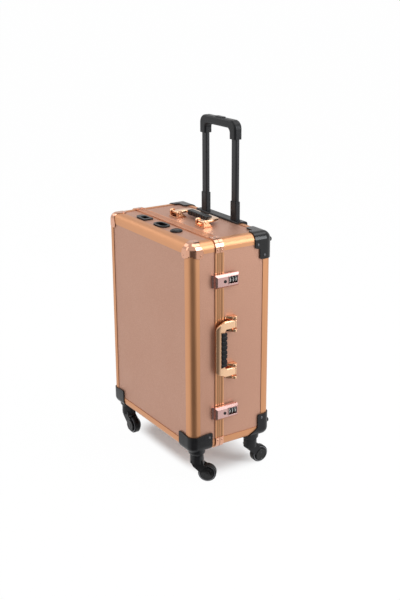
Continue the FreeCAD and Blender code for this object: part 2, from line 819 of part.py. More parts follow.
def lock_strike(z):
    """The catch plate on the lid, under the free end of the lever."""
    body = new_body("lock_strike")
    low = x_right - lip
    high = lever_under - clear_gap
    end = y_split - frame_strip - clear_gap
    pad(body, "XY", z - lock_tall / 2 + 1, z + lock_tall / 2 - 1, [
        (low, lever_low - 4), (low + 2, lever_low - 4), (high, lever_low + 1), (high, end), (low, end),
    ])
    return body


for which, z in LOCK_Z.items():
    lock_base(f"{which}_lock_base", z)
    lock_lever(f"{which}_lock_lever", z)
    lock_button(f"{which}_lock_button", z)
    for place in (-1, 0, 1):
        lock_dial(f"{which}_lock_dial_{place + 2}", z, place)
node("lock_strikes", *[lock_strike(z) for z in LOCK_Z.values()])


# Carry handles, modelled with local x along the grip, y the way it folds and z out of the face

def handle_brackets(name):
    half = ear_apart / 2 + ear_thick / 2
    parts = []
    for side in SIDES:
        centre = handle_span / 2 * side
        body = new_body(name + "_bracket")
        pad(body, "XY", 0, 2.5, rect(centre - half, centre + half, -10, 10, 4))
        for ear in SIDES:
            middle = centre + ear_apart / 2 * ear
            outline = rect(-ear_radius, ear_radius, 1.5, bail_pivot + ear_radius)
            outline[2] += (ear_radius * 0.98,)
            outline[3] += (ear_radius * 0.98,)
            pad(body, "YZ", middle - ear_thick / 2, middle + ear_thick / 2, outline)
        pocket(body, "YZ", centre - half, centre + half, Disc(0, bail_pivot, bail_pin))
        pin = rod(name + "_pin", "X", bail_pin, centre - half - 1, centre + half + 1, (0, bail_pivot))
        parts += [body, pin]
    return node(name, *parts)


def handle_bail(name):
    arm = bail_arm / 2
    outer = handle_span / 2 + arm
    inner = handle_span / 2 - arm
    far = handle_reach + bail_bar / 2
    near = handle_reach - bail_bar / 2
    end = -bail_pin - 3
    low = bail_pivot - bail_thick / 2
    body = new_body(name + "_bow")
    pad(body, "XY", low, low + bail_thick, [
        (-outer, end), (-inner, end), (-inner, near, 5), (inner, near, 5), (inner, end), (outer, end),
        (outer, far, 20), (-outer, far, 20),
    ])
    round_edges(body, "Chamfer", bail_bevel, on_levels("Z", low, low + bail_thick))
    pocket(body, "YZ", -outer, outer, Disc(0, bail_pivot, bail_pin + run_gap))
    return node(name, body)


def handle_grip(name):
    """The moulded grip that clips on the bar from inside, with four swells for the fingers."""
    half = grip_long / 2
    swell = 1.2
    outer = handle_reach + bail_bar / 2 - grip_short
    inner = outer - grip_wide
    body = new_body(name + "_sleeve")
    bumps = []
    for i in range(4):
        start = -half + grip_long / 4 * i
        bumps += [(start + 3, inner + swell), (start + grip_long / 8, inner, 14),
                  (start + grip_long / 4 - 3, inner + swell)]
    side = [(half, outer), (-half, outer)]
    low = bail_pivot - grip_thick / 2
    pad(body, "XY", low, low + grip_thick, bumps + side)
    round_edges(body, "Fillet", grip_round, on_levels("Z", low, low + grip_thick))
    pocket(body, "YZ", -half, half, rect(
        handle_reach - bail_bar / 2, handle_reach + bail_bar / 2,
        bail_pivot - bail_thick / 2, bail_pivot + bail_thick / 2))
    return node(name, body)


SIDE_TURN = Rotation(Vector(0, 0, 1), Vector(0, -1, 0), Vector(1, 0, 0), "ZXY")
HANDLES = {
    "side_handle": (x_right - lip, y_split + side_handle_back, z_mid - side_handle_drop, SIDE_TURN),
    "top_handle": (x_mid, y_split + top_handle_back, z_top - lip, Rotation()),
}
for handle, place in HANDLES.items():
    for piece in (handle_brackets(handle + "_brackets"), handle_bail(handle + "_bail"),
                  handle_grip(handle + "_grip")):
        move(piece, *place)


# Pull handle: fixed outer tubes, two telescopic stages and a grip with its button

def tube(x, wide, deep, wall):
    """The two outlines of one rounded tube."""
    def outline(cut):
        return rect(x - wide / 2 + cut, x + wide / 2 - cut, tube_y - deep / 2 + cut, tube_y + deep / 2 - cut,
                    4 - as_dim(cut) * 0.8)
    return outline(0), outline(wall)


def tube_pair(label, low, high, wide, deep, wall):
    tubes = []
    for side in SIDES:
        body = new_body(label + "_tube")
        pad(body, "XY", low, high, *tube(x_mid + tube_apart / 2 * side, wide, deep, wall))
        tubes.append(body)
    node(label, *tubes)


outer_top = z_top - skin - flange - clear_gap
middle_top = z_top + middle_up
inner_low = middle_top - tube_overlap
pull_low = middle_top + inner_up
pull_top = pull_low + pull_tall
tube_seat = 18
tube_pair("pull_outer_tubes", outer_top - outer_long, outer_top, outer_wide, outer_deep, outer_wall)
tube_pair("pull_middle_tubes", middle_top - middle_long, middle_top, middle_wide, middle_deep, middle_wall)
tube_pair("pull_inner_tubes", inner_low, pull_low + tube_seat, tube_wide, tube_deep, inner_wall)


def pull_housing():
    """The moulded housing that takes the place of the back edge profile between the tubes."""
    front = y_back - edge_leg - housing_front
    back = y_back + lip
    seat = top_board_end + clear_gap
    deck = z_top - lip
    high = z_top + housing_thick
    body = new_body("pull_housing")
    pad(body, "YZ", x_mid - housing_half, x_mid + housing_half, [
        (front, deck), (seat, deck), (seat, outer_top + clear_gap), (y_back - lip, outer_top + clear_gap),
        (y_back - lip, z_top - edge_leg), (back, z_top - edge_leg), (back, high, 7), (front, high, 3),
    ])
    holes = [tube(x_mid + tube_apart / 2 * side, middle_wide + fit_gap * 2, middle_deep + fit_gap * 2, 0)[0]
             for side in SIDES]
    pocket(body, "XY", z_top - edge_leg, high, *holes)
    return node("pull_housing", body)


def pull_grip():
    outer = tube_apart / 2 + pull_leg / 2
    inner = tube_apart / 2 - pull_leg / 2
    body = new_body("pull_grip")
    pad(body, "XZ", tube_y - pull_deep / 2, tube_y + pull_deep / 2, [
        (x_mid - outer, pull_low), (x_mid - inner, pull_low), (x_mid - inner, pull_top - pull_bar, 12),
        (x_mid + inner, pull_top - pull_bar, 12), (x_mid + inner, pull_low), (x_mid + outer, pull_low),
        (x_mid + outer, pull_top, 22), (x_mid - outer, pull_top, 22),
    ])
    faces = on_levels("Y", tube_y - pull_deep / 2, tube_y + pull_deep / 2)
    leg_end = on_levels("Z", pull_low)
    round_edges(body, "Fillet", pull_round, lambda edge: faces(edge) and not leg_end(edge))
    sockets = [tube(x_mid + tube_apart / 2 * side, tube_wide, tube_deep, 0)[0] for side in SIDES]
    pocket(body, "XY", pull_low, pull_low + tube_seat, *sockets)
    pocket(body, "XY", pull_top - 9, pull_top, slot(x_mid, tube_y, 20 + clear_gap, 6 + clear_gap))
    return node("pull_grip", body)


def pull_button():
    body = new_body("pull_button")
    pad(body, "XY", pull_top - 5, pull_top + 2, slot(x_mid, tube_y, 20, 6))
    return node("pull_button", body)


pull_housing()
pull_grip()
pull_button()


# Hinges on the far side: three knuckles each, the middle one on the lid

hinge_x = x_left - hinge_axis
HINGE_Z = (z_base + hinge_from_end, z_mid, z_top - hinge_from_end)
knuckle = hinge_long / 3


def hinge_leaf_piece(z, side, knuckles):
    """A leaf on the closing frame with its knuckles, given as bottom and top places."""
    body = new_body("hinge_leaf")
    out = x_left - frame_proud
    near = y_split + (hinge_radius + 0.6) * side
    far = y_split + (frame_strip - 0.5) * side
    edges = sorted((near, far), key=lambda d: d.value)
    pad(body, "XY", z - hinge_long / 2, z + hinge_long / 2, rect(out - hinge_leaf, out, *edges))
    for low, high in knuckles:
        neck = sorted((y_split, far - side), key=lambda d: d.value)
        pad(body, "XY", z + low, z + high, rect(out - hinge_leaf, out - clear_gap, *neck))
        pad(body, "XY", z + low, z + high, Disc(hinge_x, y_split, hinge_radius))
        pocket(body, "XY", z + low, z + high, Disc(hinge_x, y_split, hinge_pin + run_gap))
    return body


def hinge_set():
    gap = clear_gap / 2
    lid_leaves, body_leaves, pins = [], [], []
    for z in HINGE_Z:
        half = hinge_long / 2
        lid_leaves.append(hinge_leaf_piece(z, -1, [(-knuckle / 2 + gap, knuckle / 2 - gap)]))
        body_leaves.append(hinge_leaf_piece(z, 1, [(-half, -knuckle / 2 - gap), (knuckle / 2 + gap, half)]))
        pins.append(rod("hinge_pin", "Z", hinge_pin, z - half, z + half, (hinge_x, y_split)))
    node("hinge_lid_leaves", *lid_leaves)
    node("hinge_body_leaves", *body_leaves)
    node("hinge_pins", *pins)


hinge_set()


# Fittings in the top of the lid, with their cut-outs in the top board and in the lining

fitting_y = y_front + fitting_back
deck = z_top - lip


def mains_inlet():
    """An angular flanged inlet with its plug well."""
    x = x_mid - inlet_left
    body = new_body("mains_inlet")
    flange_outline = [(x - 30, fitting_y - 8, 3), (x - 17, fitting_y - 14, 3), (x + 23, fitting_y - 14, 3),
                      (x + 23, fitting_y + 14, 3), (x - 17, fitting_y + 14, 3), (x - 30, fitting_y + 8, 3)]
    pad(body, "XY", deck, deck + 4, flange_outline)
    pad(body, "XY", deck - 22, deck, rect(x - 15, x + 17, fitting_y - 10, fitting_y + 10))
    well = [(x - 12, fitting_y - 4.5), (x - 9, fitting_y - 8), (x + 14, fitting_y - 8),
            (x + 14, fitting_y + 8), (x - 9, fitting_y + 8), (x - 12, fitting_y + 4.5)]
    pocket(body, "XY", deck - 19, deck + 4, well)
    node("mains_inlet", body)
    return rect(x - 15.3, x + 17.3, fitting_y - 10.3, fitting_y + 10.3)


def oval_socket():
    """A shallow oval outlet with a raised rim."""
    x = x_mid - socket_left
    body = new_body("oval_socket")
    pad(body, "XY", deck, deck + 4, slot(x, fitting_y, 27, 16))
    pad(body, "XY", deck - 18, deck, slot(x, fitting_y, 23, 12))
    pocket(body, "XY", deck - 10, deck + 4, slot(x, fitting_y, 21, 10))
    node("oval_socket", body)
    return slot(x, fitting_y, 23.3, 12.3)


def port_cap():
    """A bevelled cap in the round cable port."""
    x = x_mid + port_right
    body = new_body("round_port_cap")
    revolve(body, "XZ", fitting_y, (x, as_dim(0)), [
        (0, deck - 12), (12, deck - 12), (12, deck), (16, deck), (16, deck + 3), (14, deck + 4.5),
        (0, deck + 4.5),
    ])
    node("round_port_cap", body)
    return Disc(x, fitting_y, 12.3)


holes = [mains_inlet(), oval_socket(), port_cap()]


def hole_tool(name, low, high):
    body = new_body(name)
    pad(body, "XY", low, high, *holes)
    return body


lid_boards[3] = combine("Cut", "lid_top_drilled", lid_boards[3],
                        hole_tool("lid_top_holes", z_top - skin - 1, z_top))
node("lid_wall_panels", *lid_boards)


# Inside: linings, mirror with its board and lights, and the storage dividers

def lining_sheets(half, y_low, y_high):
    """Four lining sheets on the inner walls, seated on the flat runs of the frame's inner flange."""
    seat = skin + tongue_thick
    sheets = []
    for sign in SIDES:
        sheets.append(box(half + "_lining_side", span("x", sign, seat, liner), (y_low, y_high),
                          (z_base + edge_radius, z_top - edge_radius)))
    for sign in SIDES:
        flat_run = (x_left + edge_radius, x_right - edge_radius)
        sheets.append(box(half + "_lining_end", flat_run, (y_low, y_high), span("z", sign, seat, liner)))
    return sheets


lid_sheets = lining_sheets("lid", y_front + skin + flange, y_split - tongue_reach - tongue_gap)
lid_sheets[3] = combine("Cut", "lid_lining_drilled", lid_sheets[3],
                        hole_tool("lid_lining_holes", z_top - liner - 1, z_top - skin))
node("lid_lining", *lid_sheets)

back_sheet = (tube_y - outer_deep / 2 - clear_gap - lining, tube_y - outer_deep / 2 - clear_gap)
body_sheets = lining_sheets("body", y_split + split_gap, back_sheet[1])
body_sheets.append(box("body_lining_back", (x_left + liner, x_right - liner), back_sheet,
                       (z_base + liner, z_top - liner)))
node("body_lining", *body_sheets)

board_y = (y_split - mirror_back - board, y_split - mirror_back)
node("mirror_board", box("mirror_board", (x_left + liner, x_right - liner), board_y,
                         (z_base + liner, z_top - liner)))
glass_z = (z_mid - mirror_tall / 2, z_mid + mirror_tall / 2)


def mirror():
    body = new_body("mirror")
    pad(body, "XZ", board_y[1], board_y[1] + mirror_thick,
        rect(x_mid - mirror_wide / 2, x_mid + mirror_wide / 2, *glass_z, 12))
    return node("mirror", body)


def light_strip(side):
    """A lamp with a rounded diffuser beside the mirror."""
    gap = (case_width / 2 - liner - mirror_wide / 2) / 2
    x = x_mid + (mirror_wide / 2 + gap) * side
    body = new_body("light_strip")
    pad(body, "XY", *glass_z, [
        (x - strip_wide / 2, board_y[1]), (x + strip_wide / 2, board_y[1]),
        (x + strip_wide / 2, board_y[1] + strip_thick, 9), (x - strip_wide / 2, board_y[1] + strip_thick, 9),
    ])
    return body


mirror()
node("light_strips", *[light_strip(side) for side in SIDES])


def dividers():
    """Two shelves across the body and an upright between them, held by the linings."""
    depth = (y_split + frame_strip, back_sheet[0])
    inner_x = (x_left + liner, x_right - liner)
    third = (case_height - liner * 2) / 3
    levels = [z_base + liner + third * i for i in (1, 2)]
    shelves = [box("shelf", inner_x, depth, (z - divider / 2, z + divider / 2)) for z in levels]
    upright = box("upright", (x_mid - divider / 2, x_mid + divider / 2), depth,
                  (levels[0] + divider / 2, levels[1] - divider / 2))
    return shelves + [upright]


node("storage_dividers", *dividers())


# Build, test and write

doc.recompute()
for thing in doc.Objects:
    if "Invalid" in thing.State or "Error" in thing.State:
        raise RuntimeError(f"{thing.Name} failed: {thing.State}")
for thing in doc.findObjects("PartDesign::Pocket"):
    if thing.Shape.Volume >= thing.BaseFeature.Shape.Volume - 1e-6:
        raise RuntimeError(f"{thing.Name} cuts nothing")
os.makedirs("parts", exist_ok=True)
for label, thing in nodes.items():
    if thing.Shape.isNull() or not thing.Shape.isValid():
        raise RuntimeError(f"{label} has no valid shape")
    thing.Shape.exportStep(f"parts/{label}.step")
print(len(nodes), "sub-parts,", sum(len(thing.Shape.Solids) for thing in nodes.values()), "solids")
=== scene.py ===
# %% [markdown]
# # A rolling makeup case, dressed for the studio
# The frame that is loaded here is the finished mechanical model: every board, profile, lock and
# caster already stands in its place, in metres. This lesson adds what a solid model leaves out:
# finishes, rivets, screws, figures on the dials, fuller shapes for the levers and handles, and a
# studio to look at it in.

# %% Load the frame
import json
import math

import bmesh
import bpy
from mathutils import Matrix, Vector


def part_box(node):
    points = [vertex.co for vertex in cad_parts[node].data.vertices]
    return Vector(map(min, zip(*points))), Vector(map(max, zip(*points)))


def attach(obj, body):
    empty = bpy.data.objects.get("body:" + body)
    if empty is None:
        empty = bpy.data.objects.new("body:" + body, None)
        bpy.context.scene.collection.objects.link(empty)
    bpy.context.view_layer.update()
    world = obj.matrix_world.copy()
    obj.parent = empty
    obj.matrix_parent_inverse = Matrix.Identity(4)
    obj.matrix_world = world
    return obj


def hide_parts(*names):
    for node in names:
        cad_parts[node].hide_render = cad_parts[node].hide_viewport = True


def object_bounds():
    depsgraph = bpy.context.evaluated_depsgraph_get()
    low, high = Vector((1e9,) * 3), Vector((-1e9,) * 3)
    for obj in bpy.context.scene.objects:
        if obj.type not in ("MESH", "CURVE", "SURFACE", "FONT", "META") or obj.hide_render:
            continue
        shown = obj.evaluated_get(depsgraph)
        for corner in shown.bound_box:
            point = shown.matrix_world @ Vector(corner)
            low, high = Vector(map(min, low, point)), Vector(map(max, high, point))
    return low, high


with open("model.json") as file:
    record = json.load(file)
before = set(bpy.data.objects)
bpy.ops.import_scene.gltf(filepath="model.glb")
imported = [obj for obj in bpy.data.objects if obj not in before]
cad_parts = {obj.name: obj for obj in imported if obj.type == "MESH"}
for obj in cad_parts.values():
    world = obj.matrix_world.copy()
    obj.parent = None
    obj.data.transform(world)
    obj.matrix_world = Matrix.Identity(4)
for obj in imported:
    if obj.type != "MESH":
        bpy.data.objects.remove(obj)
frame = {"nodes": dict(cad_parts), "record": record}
nodes = frame["nodes"]
cad_low, cad_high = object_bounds()
print("nodes:", len(nodes), "box:", [round(b - a, 3) for a, b in zip(cad_low, cad_high)])

# %% [markdown]
# ## Where the photograph was taken from
# The camera was found by fitting the corners of the case. It looks down by less than twenty degrees
# on the corner between the lid and the lock side, through a lens a little longer than normal, so the
# uprights lean together only slightly. The camera is set first, because everything is judged through it.

# %% The camera
MM = 0.001
AZIMUTH, ELEVATION, ROLL = math.radians(57.45), math.radians(18.55), math.radians(-0.31)
CAMERA_PLACE = Vector((2207.2, -1378.1, 1304.1)) * MM
LENS, SENSOR_WIDTH = 61.0, 36.0

scene = bpy.context.scene
camera_data = bpy.data.cameras.new("photo_camera")
camera_data.lens = LENS
camera_data.sensor_width = SENSOR_WIDTH
camera = bpy.data.objects.new("photo_camera", camera_data)
scene.collection.objects.link(camera)
towards_camera = Vector((
    math.sin(AZIMUTH) * math.cos(ELEVATION),
    -math.cos(AZIMUTH) * math.cos(ELEVATION),
    math.sin(ELEVATION),
))
aim = (-towards_camera).to_track_quat("-Z", "Y").to_matrix() @ Matrix.Rotation(ROLL, 3, "Z")
camera.matrix_world = Matrix.Translation(CAMERA_PLACE) @ aim.to_4x4()
scene.camera = camera
print("camera at", [round(v, 3) for v in CAMERA_PLACE], "lens", LENS)

# %% [markdown]
# ## Small tools for shaders
# The floor and every finish are trees of shader nodes. A few short functions make a node, give its
# sockets their values and read the object's own coordinates, so each recipe says only what is special.

# %% Shader tools


def new_material(name):
    """A material with an empty node tree."""
    material = bpy.data.materials.new(name)
    material.use_nodes = True
    material.node_tree.nodes.clear()
    return material, material.node_tree


def add_node(owner, kind, **settings):
    """A shader node with its settings, in a tree or beside one of its nodes."""
    made = owner.id_data.nodes.new("ShaderNode" + kind)
    for label, value in settings.items():
        setattr(made, label, value)
    return made


def fill_socket(socket, value):
    """Links another node's output to a socket, or sets a constant on it."""
    if isinstance(value, bpy.types.NodeSocket):
        socket.id_data.links.new(value, socket)
    else:
        socket.default_value = value


def feed(made, *values, **named):
    """Fills a node's sockets, in their order or by name."""
    for socket, value in zip(made.inputs, values):
        fill_socket(socket, value)
    for label, value in named.items():
        fill_socket(made.inputs[label.replace("_", " ")], value)
    return made


def maths(operation, *values):
    """The output of a math node."""
    owner = next(value for value in values if isinstance(value, bpy.types.NodeSocket))
    return feed(add_node(owner, "Math", operation=operation), *values).outputs[0]


def map_range(value, start, end, low=0.0, high=1.0, ease="LINEAR"):
    """Brings a value from one range to another."""
    made = add_node(value, "MapRange", interpolation_type=ease)
    feed(made, Value=value, From_Min=start, From_Max=end, To_Min=low, To_Max=high)
    return made.outputs["Result"]


def object_place(owner):
    """The object's own coordinates, which stay with a piece when it moves."""
    return add_node(owner, "TexCoord").outputs["Object"]


def object_xyz(owner):
    """The same coordinates as three separate outputs."""
    return feed(add_node(owner, "SeparateXYZ"), object_place(owner)).outputs


def noise(place, scale, detail=2.0):
    """Cloudy noise between nought and one."""
    made = add_node(place, "TexNoise")
    return feed(made, Vector=place, Scale=scale, Detail=detail).outputs["Fac"]


def one_colour(tree, kind, colour):
    """The output of a simple shader in one colour."""
    return feed(add_node(tree, kind), Color=colour).outputs[0]


def show(shader):
    """Makes a shader's output the surface of its material."""
    feed(add_node(shader, "OutputMaterial"), Surface=shader)


print("shader tools ready")

# %% [markdown]
# ## A plain studio
# A product like this is shot on a white sweep under wide soft boxes. The floor's shader mixes a lit white
# with its own white, for the camera and mirror-like metal. Under the case the lit share is large, so the
# soft shadow stays, and outside the footprint the floor's own white takes over.

# %% The floor and the world
scene.view_settings.view_transform = "Standard"
WHITE, FLOOR_COLOUR, FLOOR_SIZE = (1, 1, 1, 1), (0.9, 0.93, 0.945, 1), 120
SHADOW_MIDDLE, SHADOW_HALF, SQUARENESS = (-0.008, 0.024), (0.2, 0.11), 4.0
GLOW_START, GLOW_END, GLOW_NEAR, GLOW_FAR = 0.72, 1.1, 0.07, 0.98
WORLD_LEVEL = 0.78


def sweep_material():
    """White that is lit inside a rounded rectangle and shines by itself outside it."""
    material, tree = new_material("white_sweep")
    xyz = object_xyz(tree)
    ways = []
    for axis, middle, half in zip("XY", SHADOW_MIDDLE, SHADOW_HALF):
        off = maths("DIVIDE", maths("SUBTRACT", xyz[axis], middle), half)
        ways.append(maths("POWER", maths("ABSOLUTE", off), SQUARENESS))
    distance = maths("POWER", maths("ADD", *ways), 1 / SQUARENESS)
    glow = map_range(distance, GLOW_START, GLOW_END, GLOW_NEAR, GLOW_FAR, ease="SMOOTHSTEP")
    rays = add_node(tree, "LightPath").outputs
    seen = maths("MAXIMUM", rays["Is Camera Ray"], rays["Is Glossy Ray"])
    seen = maths("MAXIMUM", seen, rays["Is Transmission Ray"])
    lit = one_colour(tree, "BsdfDiffuse", FLOOR_COLOUR)
    own = one_colour(tree, "Emission", WHITE)
    mix = feed(add_node(tree, "MixShader"), maths("MULTIPLY", seen, glow), lit, own)
    show(mix.outputs[0])
    return material


bpy.ops.object.select_all(action="DESELECT")
bpy.ops.mesh.primitive_plane_add(size=FLOOR_SIZE)
floor = bpy.context.object
floor.name = "studio_floor"
floor.data.materials.append(sweep_material())
world = bpy.data.worlds.new("studio_air")
world.use_nodes = True
air = world.node_tree
in_picture = add_node(air, "LightPath").outputs["Is Camera Ray"]
level = maths("MULTIPLY_ADD", in_picture, 1 - WORLD_LEVEL, WORLD_LEVEL)
feed(air.nodes["Background"], Color=WHITE, Strength=level)
scene.world = world
print("floor and world made")

# %% [markdown]
# ## Soft boxes and the dark end of the room
# One large box hangs over the case and a little behind it, where the upper edges mirror it. Two stand at
# the left, in front of the lid and beside it, and one lights the lock side. Metal only looks like metal
# when it has something dark to mirror as well. In a studio that is the room behind the camera, so a
# sector of dark felt lies there and ends in a low dark wall, both thinning out towards their edges so
# that mirrors show no outline. Only mirrored rays meet it: it is out of the picture and takes no light.

# %% The lamps and the felt


def soft_box(name, place, width, height, power, colour=(1, 1, 1)):
    """A rectangular lamp that faces the middle of the case."""
    data = bpy.data.lights.new(name, "AREA")
    data.shape = "RECTANGLE"
    data.size, data.size_y = width, height
    data.energy, data.color = power, colour
    lamp = bpy.data.objects.new(name, data)
    scene.collection.objects.link(lamp)
    lamp.location = place
    middle = (cad_low + cad_high) / 2
    lamp.rotation_euler = (middle - Vector(place)).to_track_quat("-Z", "Y").to_euler()


soft_box("overhead_box", (0.45, 0.55, 2.7), width=2.0, height=2.0, power=24)
soft_box("lid_side_box", (-1.2, -2.2, 1.5), width=1.2, height=2.0, power=9)
soft_box("left_box", (-2.3, -0.9, 2.1), width=1.2, height=1.2, power=4.5)
soft_box("lock_side_box", (2.4, 1.3, 1.5), width=1.0, height=2.0, power=36, colour=(0.93, 0.97, 1))

NEAR_CORNER = Vector((0.19, -0.112, 0.003))
FELT_AZIMUTH, FELT_HALF_ANGLE = AZIMUTH + math.radians(9), math.radians(66)
FELT_START, FELT_END, FELT_STEPS = 0.05, 4.5, 8
FELT_COLOUR = (0.13, 0.118, 0.11, 1)
FELT_FADE_START, WALL_FADE_START, WALL_TOP = math.radians(34), 0.3, 1.6


def felt_ring(radius, height):
    """Points on an arc about the near corner of the case, at one radius and height."""
    steps = range(-FELT_STEPS, FELT_STEPS + 1)
    angles = [FELT_AZIMUTH + FELT_HALF_ANGLE * step / FELT_STEPS for step in steps]
    return [NEAR_CORNER + Vector((math.sin(a) * radius, -math.cos(a) * radius, height)) for a in angles]


def felt_material():
    """Dark pile that thins out towards the sides of the sector and the top of the wall."""
    material, tree = new_material("dark_felt")
    xyz = object_xyz(tree)
    right = maths("SUBTRACT", xyz["X"], NEAR_CORNER.x)
    ahead = maths("SUBTRACT", NEAR_CORNER.y, xyz["Y"])
    bearing = maths("ARCTAN2", right, ahead)
    aside = maths("ABSOLUTE", maths("SUBTRACT", bearing, FELT_AZIMUTH))
    sides = map_range(aside, FELT_FADE_START, FELT_HALF_ANGLE, ease="SMOOTHSTEP")
    top = map_range(xyz["Z"], WALL_FADE_START, WALL_TOP, ease="SMOOTHSTEP")
    pile = one_colour(tree, "BsdfDiffuse", FELT_COLOUR)
    bare = one_colour(tree, "BsdfTransparent", WHITE)
    thin = feed(add_node(tree, "MixShader"), maths("MAXIMUM", sides, top), pile, bare)
    show(thin.outputs[0])
    return material


rings = [felt_ring(FELT_START, 0), felt_ring(FELT_END, 0), felt_ring(FELT_END, WALL_TOP)]
count = len(rings[0])
quads = [(r * count + i, r * count + i + 1, (r + 1) * count + i + 1, (r + 1) * count + i)
         for r in range(2) for i in range(count - 1)]
felt_mesh = bpy.data.meshes.new("dark_felt")
felt_mesh.from_pydata([point for ring in rings for point in ring], [], quads)
felt_mesh.materials.append(felt_material())
felt = bpy.data.objects.new("dark_felt", felt_mesh)
scene.collection.objects.link(felt)
felt.visible_camera = felt.visible_diffuse = felt.visible_shadow = felt.visible_transmission = False

# %% [markdown]
# ## Shared effects
# Real surfaces are never one even colour. Four effects come back in several finishes, so each is a
# node group: `fine_grain` for moulded skins, `drawn_lines` for metal that was pulled through a die,
# `handling` for the faint smudges that hands leave, and the last for painted shade in grooves and
# along joints, darkest where little light reaches.

# %% Node groups
GROUPS = {}
PATCH_START, PATCH_END = 0.3, 0.7


def new_group(name, output, **inputs):
    """A shader node group with float inputs and one float output."""
    group = GROUPS[name] = bpy.data.node_groups.new(name, "ShaderNodeTree")
    for label, value in inputs.items():
        label = label.replace("_", " ")
        socket = group.interface.new_socket(label, in_out="INPUT", socket_type="NodeSocketFloat")
        socket.default_value = value
    group.interface.new_socket(output, in_out="OUTPUT", socket_type="NodeSocketFloat")
    return group, group.nodes.new("NodeGroupInput").outputs, group.nodes.new("NodeGroupOutput")


# Rounded pebbles, as on moulded plastic.
group, given, end = new_group("fine_grain", "Height", Scale=900.0)
cells = add_node(group, "TexVoronoi", feature="SMOOTH_F1")
feed(cells, Vector=object_place(group), Scale=given["Scale"])
feed(end, cells.outputs["Distance"])

# Fine lines along one axis: the coordinates are squeezed across it and stretched along it.
group, given, end = new_group("drawn_lines", "Lines", Along_X=1.0, Along_Y=1.0, Along_Z=1.0, Scale=1.0)
stretch = add_node(group, "CombineXYZ")
feed(stretch, *[given["Along " + axis] for axis in "XYZ"])
drawn = add_node(group, "VectorMath", operation="MULTIPLY")
feed(drawn, object_place(group), stretch.outputs[0])
feed(end, noise(drawn.outputs[0], given["Scale"], detail=3.0))

# Broad soft patches, a little glossier or duller than the rest.
group, given, end = new_group("handling", "Roughness", Scale=9.0, Low=0.3, High=0.4)
patches = noise(object_place(group), given["Scale"], detail=4.0)
feed(end, map_range(patches, PATCH_START, PATCH_END, given["Low"], given["High"]))

# Painted shade: one on open faces, falling towards nought in grooves, corners and joints, where little
# light reaches.
group, given, end = new_group("occlusion_shade", "Open", Reach=0.005, Bite=1.0)
nook = feed(add_node(group, "AmbientOcclusion", samples=8), Distance=given["Reach"])
feed(end, maths("POWER", nook.outputs["AO"], given["Bite"]))
print("node groups:", sorted(GROUPS))

# %% [markdown]
# ## Finishes
# A colour read from the photograph is an sRGB colour; shaders want linear light, so a small function
# turns one into the other. Each finish below is one Principled shader with its constants set on the
# shader's own sockets, and only what changes over the surface comes through a link.

# %% Material helpers


def linear(*colour):
    """An sRGB colour, 0 to 255, as the linear colour that a shader takes."""
    shares = [value / 255 for value in colour]
    return (*[v / 12.92 if v <= 0.04045 else ((v + 0.055) / 1.055) ** 2.4 for v in shares], 1)


def place_group(owner, name, **values):
    """The output of a shared node group with its own values."""
    return feed(add_node(owner, "Group", node_tree=GROUPS[name]), **values).outputs[0]


def new_finish(name, colour, **constants):
    """A material with one Principled shader and the constants on its sockets."""
    material, tree = new_material(name)
    shader = feed(add_node(tree, "BsdfPrincipled"), Base_Color=colour, **constants)
    show(shader.outputs[0])
    print("made", name)
    return material, shader


def add_bump(shader, height, strength, distance, edge=0.0):
    """Relief from a height, and where an edge radius is given, a highlight along sharp edges."""
    bump = feed(add_node(shader, "Bump"), Strength=strength, Distance=distance, Height=height)
    if edge:
        rounded = feed(add_node(shader, "Bevel", samples=4), Radius=edge)
        feed(bump, Normal=rounded.outputs["Normal"])
    feed(shader, Normal=bump.outputs["Normal"])


def add_handling(shader, scale, low, high):
    """Lets the roughness wander between two values, and returns it."""
    rough = place_group(shader, "handling", Scale=scale, Low=low, High=high)
    feed(shader, Roughness=rough)
    return rough


def blend(share, first, second):
    """Blends two colours by a mask; each is an sRGB colour or another node's output."""
    mix = feed(add_node(share, "Mix", data_type="RGBA"), Factor=share)
    sockets = [socket for socket in mix.inputs if socket.type == "RGBA"]
    for socket, value in zip(sockets, (first, second)):
        fill_socket(socket, value if isinstance(value, bpy.types.NodeSocket) else linear(*value))
    return next(socket for socket in mix.outputs if socket.type == "RGBA")


def darken_joints(colour, joint, reach, bite):
    """Paints shade: blends a colour towards a darker one in grooves and along joints, where little light
    reaches.
    """
    return blend(place_group(colour, "occlusion_shade", Reach=reach, Bite=bite), joint, colour)


def two_tones(shader, share, dark, light, **joints):
    """Blends the base colour from two, with painted shade in grooves and along joints where it is
    described.
    """
    colour = blend(share, dark, light)
    if joints:
        colour = darken_joints(colour, **joints)
    feed(shader, Base_Color=colour)


print("material helpers ready")

# %% [markdown]
# ## The panels' skin
# The boards are faced with a thin metallic sheet that is embossed with a fine lattice, so it glitters
# in small points instead of mirroring the room. Two sets of diagonal ridges, a little over two
# millimetres apart, make the lattice on every upright wall. On the level top and bottom both sets run
# the same way.

# %% Panel skin
LATTICE_PITCH, GRAIN_SHARE = 0.0024, 1.6
SKIN, shader = new_finish("panel_skin", linear(185, 137, 113), Metallic=0.55, Roughness=0.42)
xyz = object_xyz(shader)

# A wall that faces X runs along y and one that faces Y runs along x, so their sum serves both.
across = maths("ADD", xyz["X"], xyz["Y"])
turn = math.tau / LATTICE_PITCH / math.sqrt(2)
up = maths("MULTIPLY", maths("ADD", across, xyz["Z"]), turn)
down = maths("MULTIPLY", maths("SUBTRACT", across, xyz["Z"]), turn)
lattice = maths("MAXIMUM", maths("SINE", up), maths("SINE", down))
grain = noise(object_place(shader), scale=420.0)
height = maths("ADD", lattice, maths("MULTIPLY", grain, GRAIN_SHARE))
add_bump(shader, height, strength=0.35, distance=0.00025)
two_tones(shader, grain, (174, 127, 105), (199, 153, 131))
add_handling(shader, scale=7.0, low=0.38, high=0.47)
